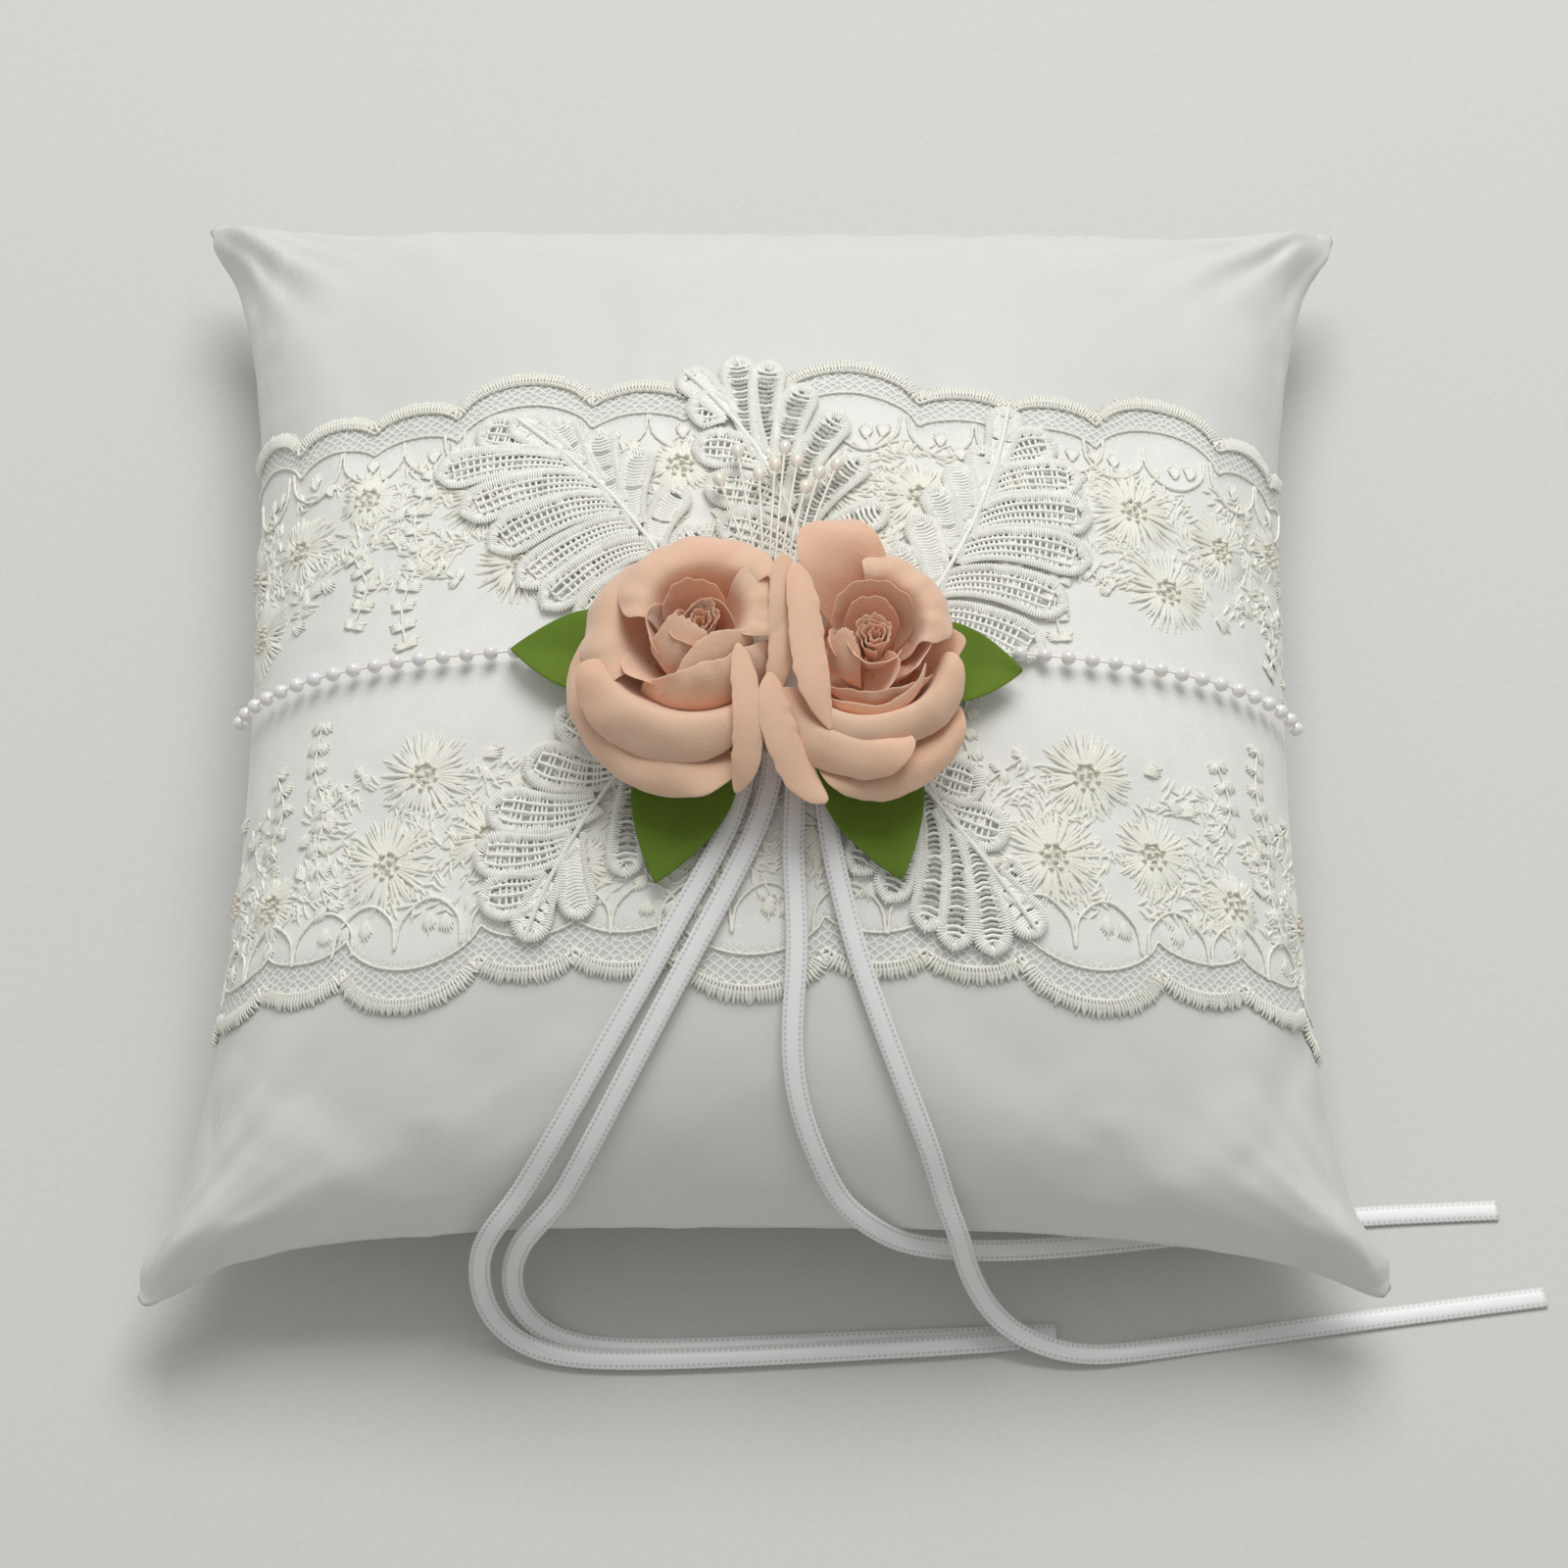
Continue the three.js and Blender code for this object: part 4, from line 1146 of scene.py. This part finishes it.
def petal(bm_size, centre, start, end, profile, spiral=0.0, shape=0.5, ruffle=0.3, seed=0.0, drop=0.0):
    """A petal from bearing start to end; profile is (radius, height) from foot to rim."""
    line = smooth_run([(*p, 0) for p in profile], 0.4)
    steps = np.linspace(0, 1, len(line))

    def place(s, t):
        share = (s + 1) / 2
        bearing = np.radians(start + (end - start) * share)
        fray = np.array([noise.noise((a * 13, seed, 0)) + 0.6 * noise.noise((a * 47, seed, 3)) for a in s])
        reach = (1 - shape * np.abs(s) ** (1.5 if end - start < 70 else 2.8)) * (1 + 0.03 * fray)
        v = (t + 1) / 2 * reach
        r, z = np.interp(v, steps, line[:, 0]), np.interp(v, steps, line[:, 1])
        wave = np.array([noise.noise((math.cos(b) * 2, math.sin(b) * 2, seed)) for b in bearing])
        crumple = np.array([noise.noise((b * 4, a * 3, seed + 7)) for a, b in zip(v, bearing)]) * v
        r = r * (1 + spiral * (share - 0.5)) + wave * ruffle * 2.2 * v ** 1.5 + 0.5 * crumple
        z = z + wave[::-1] * ruffle * 1.4 * v + drop * (share - 0.5) + 0.9 * crumple
        return np.stack(
            [centre[0] + r * np.cos(bearing), centre[1] + r * np.sin(bearing), ROSE_FOOT + z], axis=1)

    bm = grid_with_uv(*bm_size)
    # The second cloth place runs from foot to rim and sets the petal colour, with its painted crevice shade
    # at the foot and painted light at the rim.
    place_grid(bm, place, lambda s, t: np.stack([(s + 1) / 2, (t + 1) / 2], axis=1))
    return bm


LEFT_ROSE, RIGHT_ROSE = (-10.6, -12.0), (17.0, -14.2)
PETALS = {
    "left": [
        # start, end, profile, spiral, shape, ruffle, drop
        (-60, 150, [(1.4, 1), (2.0, 5), (2.5, 9), (3.2, 11.6)], 0.35, 0.35, 0.25, 1.0),
        (130, 330, [(2.4, 1), (3.4, 5), (4.4, 9), (5.2, 11.2)], 0.2, 0.4, 0.3, -0.8),
        (45, 165, [(3.2, 1), (5.2, 5), (6.4, 9), (7.0, 11.6)], 0.1, 0.4, 0.3, 0.6),
        (142, 222, [(4, 1), (6.6, 4.5), (7.9, 8.6), (8.6, 11)], 0.1, 0.4, 0.35, 0.0),
        (226, 352, [(8, 1), (12.4, 3.2), (12.6, 6.6), (10.4, 9.8), (7.8, 11.4)], -0.12, 0.4, 0.2, 0.8),
        (35, 180, [(4, 1), (7, 5), (8.8, 9.5), (10.4, 11.3), (13.4, 10.6), (15.8, 8.2), (16.6, 6.2)],
         -0.22, 0.3, 0.3, 0.0),
        (200, 300, [(7, 1), (12.5, 3.4), (15.4, 7.4), (17, 9.1), (19.8, 8.5), (22.2, 6), (22.8, 4)],
         -0.12, 0.3, 0.3, 0.0),
        (176, 284, [(8, 0.3), (14, 1), (18.4, 4), (21.4, 4.2), (24.4, 2.6), (25.6, 0.4)],
         0.36, 0.3, 0.45, 0.0),
        (-24, 54, [(4, 2), (6.2, 7), (7.3, 10.2), (9, 11.5), (11.8, 10.4), (13.4, 7.4)],
         0.3, 0.35, 0.15, 0.0),
        (196, 240, [(8, 1.5), (11, 5), (13.2, 8.4), (15, 9.8)], 0.0, 0.5, 0.3, 0.0),
        (128, 216, [(7, 1), (10.6, 4.6), (12.8, 7.6), (15, 8.3), (17.4, 6.6), (18.8, 3.4)],
         0.1, 0.3, 0.3, 0.0),
    ],
    "right": [
        (-20, 190, [(1.4, 1), (2.0, 5), (2.5, 9), (3.2, 11.2)], 0.35, 0.35, 0.3, 1.0),
        (150, 350, [(2.4, 1), (3.4, 5), (4.4, 9), (5.2, 10.8)], 0.2, 0.4, 0.3, -0.8),
        (40, 152, [(3, 1), (4.8, 5), (5.9, 9), (6.4, 11)], 0.1, 0.4, 0.3, 0.6),
        (22, 160, [(3.6, 1), (6.4, 5), (7.8, 9), (8.8, 11.6)], 0.1, 0.4, 0.35, 0.0),
        (-66, 24, [(4, 1), (6.8, 4.5), (8.0, 8), (8.8, 10.2)], 0.15, 0.4, 0.3, 0.0),
        (-12, 100, [(4, 1), (6.8, 5), (8.2, 9.6), (9.6, 11.2), (12, 10.4), (13.6, 8.2), (14, 6.2)],
         0.32, 0.3, 0.3, 0.0),
        (238, 350, [(6, 0.5), (10.4, 3), (12.2, 7), (13.4, 8.7), (15.8, 7.8), (17, 5.6), (17.2, 4.2)],
         -0.2, 0.3, 0.3, 0.0),
        (210, 290, [(7, 0.5), (13, 3.4), (16.2, 6.8), (18, 8), (21, 6.8), (22.8, 4.2)], 0.08, 0.3, 0.3, 0.0),
        (246, 326, [(7, 0.2), (14, 1), (18.6, 3), (21.8, 3), (23.8, 0.8)], -0.3, 0.3, 0.4, 0.0),
        (76, 144, [(8, 3), (13, 8.6), (17, 11.2), (20, 11.2), (22.4, 9.4), (23.4, 7.2)],
         0.12, 0.72, 0.2, 0.0),
        (214, 332, [(6, 1), (9.6, 4), (10.6, 7.2), (9.8, 9.6)], 0.0, 0.35, 0.3, 0.6),
        (158, 220, [(3, 1.5), (5.5, 5), (7, 8.6), (7.6, 10.8)], 0.0, 0.4, 0.3, 0.0),
        (-18, 28, [(6, 0.3), (10, 2), (12.8, 4), (14.2, 4.6)], 0.0, 0.35, 0.3, 0.0),
    ],
}
# Petals that hang folded between the roses: a line from their heart and half widths.
FOLDS = {
    "left": [
        ([(6, -4.5, 11.4), (7, -10.5, 11.4), (7.7, -17.5, 10.2), (7.2, -23.6, 7), (5.8, -27, 3.6)],
         [1.3, 2.1, 2.4, 2.2, 1.2]),
        ([(12.6, 11.5, 9.6), (13.6, 3, 10.4), (12.6, -6, 9.6), (11, -13.5, 6.5)], [1.4, 2.0, 2.0, 1.0]),
    ],
    "right": [
        ([(-12.6, 12, 11.6), (-11.4, 5, 12.4), (-10.6, -3, 12), (-9.4, -9.8, 11), (-7, -15.8, 8)],
         [2.0, 2.6, 2.8, 2.5, 1.0]),
        ([(-16.6, -7, 10.6), (-16, -12.5, 10.2), (-14.3, -18, 8.4), (-11.2, -22.8, 5), (-7.4, -25.6, 2.4)],
         [1.5, 2.6, 2.9, 3.0, 1.9]),
        ([(-14.4, 14, 11), (-14.8, 6, 11.2), (-15.2, -1, 9.8), (-15.4, -7, 8)], [1.8, 2.0, 1.7, 0.8]),
    ],
}


def folded_petal(centre, line, halves):
    """A narrow strip of petal that arches over its line and rolls under at both sides."""
    path = smooth_run([(*p, h) for p, h in zip(line, halves)], 0.9)
    along = unit(np.gradient(path[:, :3], axis=0))
    across = unit(np.cross(along, (0, 0, 1)))
    up = np.cross(across, along)

    def place(s, t):
        row = np.clip(np.round((t + 1) / 2 * (len(path) - 1)).astype(int), 0, len(path) - 1)
        half = path[row, 3] * np.sqrt(np.clip(1.02 - np.abs(t) ** 7, 0.05, 1))
        fray = np.array([
            noise.noise((a * 9, b * 2, 5)) + 0.7 * noise.noise((a * 31, b * 2, 8)) for a, b in zip(t, s)])
        out = half * s * (1 + 0.16 * fray)
        lift = half * (0.22 * s - 0.3 * s ** 2)
        spot = path[row, :3] + across[row] * out[:, None] + up[row] * lift[:, None]
        return spot + (centre[0], centre[1], ROSE_FOOT)

    bm = grid_with_uv(12, len(path) - 1)
    # The second cloth place sets the colour: deeper along the middle, pale at the rolled sides, painted as
    # lit rims.
    place_grid(bm, place, lambda s, t: np.stack([(s + 1) / 2, 0.55 + 0.45 * np.abs(s)], axis=1))
    return bm


# Petals of the hearts: their foot, belly and rim as lines, since they lean over each other.
HEARTS = {
    "left": [
        ([(-5.5, -9.5, 3), (-2, -9.5, 2.5), (2, -8.5, 2.5), (5.5, -6, 3), (8, -3, 4)],
         [(-6.5, -11.5, 6), (-3, -11.2, 7), (1.5, -9.2, 8), (5.5, -6.5, 8.5), (8.5, -3, 9)],
         [(-5, -10.5, 8.5), (-3.3, -7.6, 10.2), (-0.4, -4.6, 11.8), (3.7, -2, 12.4), (7, -0.5, 12)]),
        ([(-6, -3, 2), (-4, -5.5, 2), (-1, -6.5, 2), (2, -5.5, 2)],
         [(-7.8, -3.5, 7), (-5, -6.5, 7), (-1, -6.6, 8), (2.5, -5.2, 8)],
         [(-7.2, -1.6, 10.4), (-4.5, 0.2, 12.2), (-1, -0.8, 12), (2.4, -2.2, 11.6)]),
        ([(-2, -2, 2), (-0.4, 1, 2), (2, 1, 2), (3, -1, 2)],
         [(-3.8, -1.2, 7), (-0.6, 2.4, 7), (3, 2.4, 7), (5, -0.6, 7)],
         [(-3.9, -1, 11), (-0.4, 2.9, 11.6), (3.1, 2.9, 11.6), (5.7, -0.3, 11.4)]),
    ],
    "right": [
        ([(-6.5, -3, 3), (-4, -5, 3), (-2, -6, 3)],
         [(-7.5, -2.5, 7), (-5, -4.8, 7.5), (-2.3, -5, 7.5)],
         [(-6.7, 0.2, 11), (-4.7, 0.2, 12), (-2.3, -1, 11.5)]),
        ([(-2, -3.5, 3), (-1.8, -5.2, 3), (-1.6, -6.8, 3), (-1.6, -8, 3)],
         [(0.8, -2.4, 6), (1.6, -5, 5.6), (0.8, -7.8, 5.2), (-1, -9.6, 5)],
         [(2.8, -1.8, 10.8), (4, -5, 10.4), (2.6, -8.4, 9.4), (-0.5, -10.4, 8)]),
        ([(-6, -7, 3), (-3.5, -8.5, 3), (0, -9, 3), (3, -8, 3), (5, -6, 3), (6, -3, 4)],
         [(-8, -9.2, 5.5), (-5, -11.4, 5.5), (0, -12.6, 5.5), (4, -11.4, 6), (7, -8, 6.5), (8, -4, 7)],
         [(-7.9, -8.8, 8), (-4.7, -10.4, 8.5), (0, -11.7, 8.5), (3.5, -10.5, 9), (6.4, -7.5, 9.5),
          (7.3, -3.9, 10)]),
    ],
}


def leaning_petal(centre, rails, seed):
    """A petal through three lines: its foot, its belly and its rim."""
    even = []
    for rail in rails:
        fine = smooth_run(rail, 0.2)
        even.append(np.stack([np.interp(np.linspace(0, 1, 37), np.linspace(0, 1, len(fine)), fine[:, k])
                              for k in range(3)], axis=1))
    foot, belly, rim = even

    def place(s, t):
        row = np.round((s + 1) / 2 * 36).astype(int)
        fray = np.array([noise.noise((a * 9, seed, 1)) + 0.6 * noise.noise((a * 37, seed, 4)) for a in s])
        v = ((t + 1) / 2 * (1 - 0.22 * np.abs(s) ** 3) * (1 + 0.03 * fray))[:, None]
        spot = foot[row] * (2 * (v - 0.5) * (v - 1)) + belly[row] * (4 * v * (1 - v))
        spot = spot + rim[row] * (2 * v * (v - 0.5))
        return spot + (centre[0], centre[1], ROSE_FOOT)

    bm = grid_with_uv(36, 12)
    # The second cloth place runs from foot to rim and sets the petal colour, with its painted crevice shade
    # at the foot and painted light at the rim.
    place_grid(bm, place, lambda s, t: np.stack([(s + 1) / 2, (t + 1) / 2], axis=1))
    return bm


# %% Wrap the roses
PETAL_WALL = 0.2
for side, centre in (("left", LEFT_ROSE), ("right", RIGHT_ROSE)):
    for k, (start, end, profile, spiral, shape, ruffle, drop) in enumerate(PETALS[side], 1):
        cells = (max(24, int((end - start) / 3.5)), 18)
        bm = petal(cells, centre, start, end, profile, spiral, shape, ruffle, k * 1.7 + len(side), drop)
        stands_for = [f"rose_{side}_petal_{k}"] if k <= 8 else []
        piece = finish_piece(
            f"petal_{side}_{k}", mesh_from(bm, f"petal_{side}_{k}"), PETAL, stands_for)
        thicken(piece, PETAL_WALL)
    for k, rails in enumerate(HEARTS[side], 1):
        bm = leaning_petal(centre, rails, k * 2.3 + len(side))
        piece = finish_piece(f"heart_{side}_{k}", mesh_from(bm, f"heart_{side}_{k}"), PETAL)
        thicken(piece, PETAL_WALL)
    for k, (line, halves) in enumerate(FOLDS[side], 1):
        bm = folded_petal(centre, line, halves)
        piece = finish_piece(f"fold_{side}_{k}", mesh_from(bm, f"fold_{side}_{k}"), PETAL)
        thicken(piece, PETAL_WALL)
    scroll = [(0.5, 1), (1.1, 5), (1.5, 8.5), (1.9, 10.8)]
    bm = petal((120, 14), centre, 0, 1000, scroll, 1.3, 0.12, 0.35, 4.2 + len(side))
    bud = finish_piece(
        f"bud_{side}", mesh_from(bm, f"bud_{side}"), PETAL, [f"rose_{side}_bud"])
    thicken(bud, PETAL_WALL)
print("petals", sum(len(rows) for rows in PETALS.values()))

# %% [markdown]
# ## Stamens
# Nine pearlised stamens fan out behind the roses: a stiff thread that bends a little and
# a drop-shaped head. The stem is a bent thread and the head a sphere drawn out at its
# lower end. A spun profile would give the same drop, but the sphere operator is shorter.

# %% Stamens
STAMEN_HEADS = [
    (-8, 20.5), (-5.2, 26), (-1.6, 21.5), (1, 23.5), (2.6, 26.8), (4.6, 24.2), (6, 19.2), (8.2, 22),
    (11, 23.6)]
STAMEN_CLEAR = 4.6  # from the satin to the middle of a head
STAMEN_PITCH, STAMEN_FOOT_Y = 0.9, 2.6
lower = []  # how far each head lies below the top of the model's
for k, (x, y) in enumerate(STAMEN_HEADS):
    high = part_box(f"stamen_{k + 1}")[1]
    foot = np.array([1 + (k - 4) * STAMEN_PITCH, STAMEN_FOOT_Y, ROSE_FOOT - 1.2])
    head = over_plan(x, y, STAMEN_CLEAR)[0]
    lower.append(high[2] / MM - head[2])
    middle = (foot + head) / 2 + (0, 0, 1.6)
    line = smooth_run([foot, middle, head], 1.0)
    way = Vector(unit(head - middle))
    mesh = bend_threads(f"stamen_{k + 1}", [(line, np.ones(len(line)))], 0.22, 8)
    bm = bmesh.new()
    bm.from_mesh(mesh)
    bpy.data.meshes.remove(mesh)
    made = bmesh.ops.create_uvsphere(bm, u_segments=16, v_segments=12, radius=1)["verts"]
    aim = way.to_track_quat("Z", "Y").to_matrix()
    for vert in made:
        wide = 1.1 if vert.co.z > 0 else 1.1 - 0.5 * vert.co.z ** 2
        tall = 1.1 if vert.co.z > 0 else 1.9
        local = Vector((vert.co.x * wide, vert.co.y * wide, vert.co.z * tall))
        vert.co = (Vector(head) + aim @ local) * MM
    finish_piece(
        f"pearl_stamen_{k + 1}", mesh_from(bm, f"pearl_stamen_{k + 1}"), STAMEN,
        [f"stamen_{k + 1}"])
print("stamens", len(STAMEN_HEADS), "heads below the model's tops by", round(min(lower), 1), "mm or more")

# %% [markdown]
# ## Hidden pieces
# The felt pad, the rose bases and the filling lie under other pieces. A finer shape
# wouldn't show, so they keep their shapes from the model and only get a finish.

# %% Finishes of the pieces that stay as they are
kept = {"flower_pad": FELT, "rose_left_base": PETAL, "rose_right_base": PETAL, "fibre_filling": WADDING}
for name, finish in kept.items():
    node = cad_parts[name]
    for place in node.material_slots:
        place.material = finish
    if not node.material_slots:
        node.data.materials.append(finish)
print("kept pieces", list(kept))

# %% [markdown]
# ## Table and light
# The pale table is only a stage. One large panel hangs over the pillow, a little behind
# it, so the front slope falls into a soft grey, and the dim room fills the shadows.

# %% Table
table_bm = bmesh.new()
bmesh.ops.create_grid(table_bm, x_segments=1, y_segments=1, size=3)
table = bpy.data.objects.new("table_top", mesh_from(table_bm, "table_top"))
scene.collection.objects.link(table)
table_mat, table_shader = new_material("table_white", (0.72, 0.725, 0.74), 0.6)
place = add_node(table_mat, "TexCoord").outputs["Object"]
grain = add_node(table_mat, "TexNoise", Vector=place, Scale=900.0, Detail=3.0).outputs["Fac"]
colour_by(
    table_mat, table_shader, ramp(table_mat, grain, 0.3, 0.7, (0.655, 0.655, 0.63), (0.68, 0.68, 0.655)))
table.data.materials.append(table_mat)

# %% Lights
world = bpy.data.worlds.new("room")
scene.world = world
world.use_nodes = True
world.node_tree.nodes["Background"].inputs["Color"].default_value = (1.0, 1.0, 0.985, 1)
world.node_tree.nodes["Background"].inputs["Strength"].default_value = 0.385


def panel(name, place, aim, size, power):
    light = bpy.data.objects.new(name, bpy.data.lights.new(name, "AREA"))
    light.data.shape = "SQUARE"
    light.data.size = size
    light.data.energy = power
    light.location = place
    light.rotation_euler = (Vector(aim) - Vector(place)).to_track_quat("-Z", "Y").to_euler()
    scene.collection.objects.link(light)


panel("overhead", (0.12, 0.86, 1.42), (0, 0, 0), 1.0, 18.2)
print("lights placed")
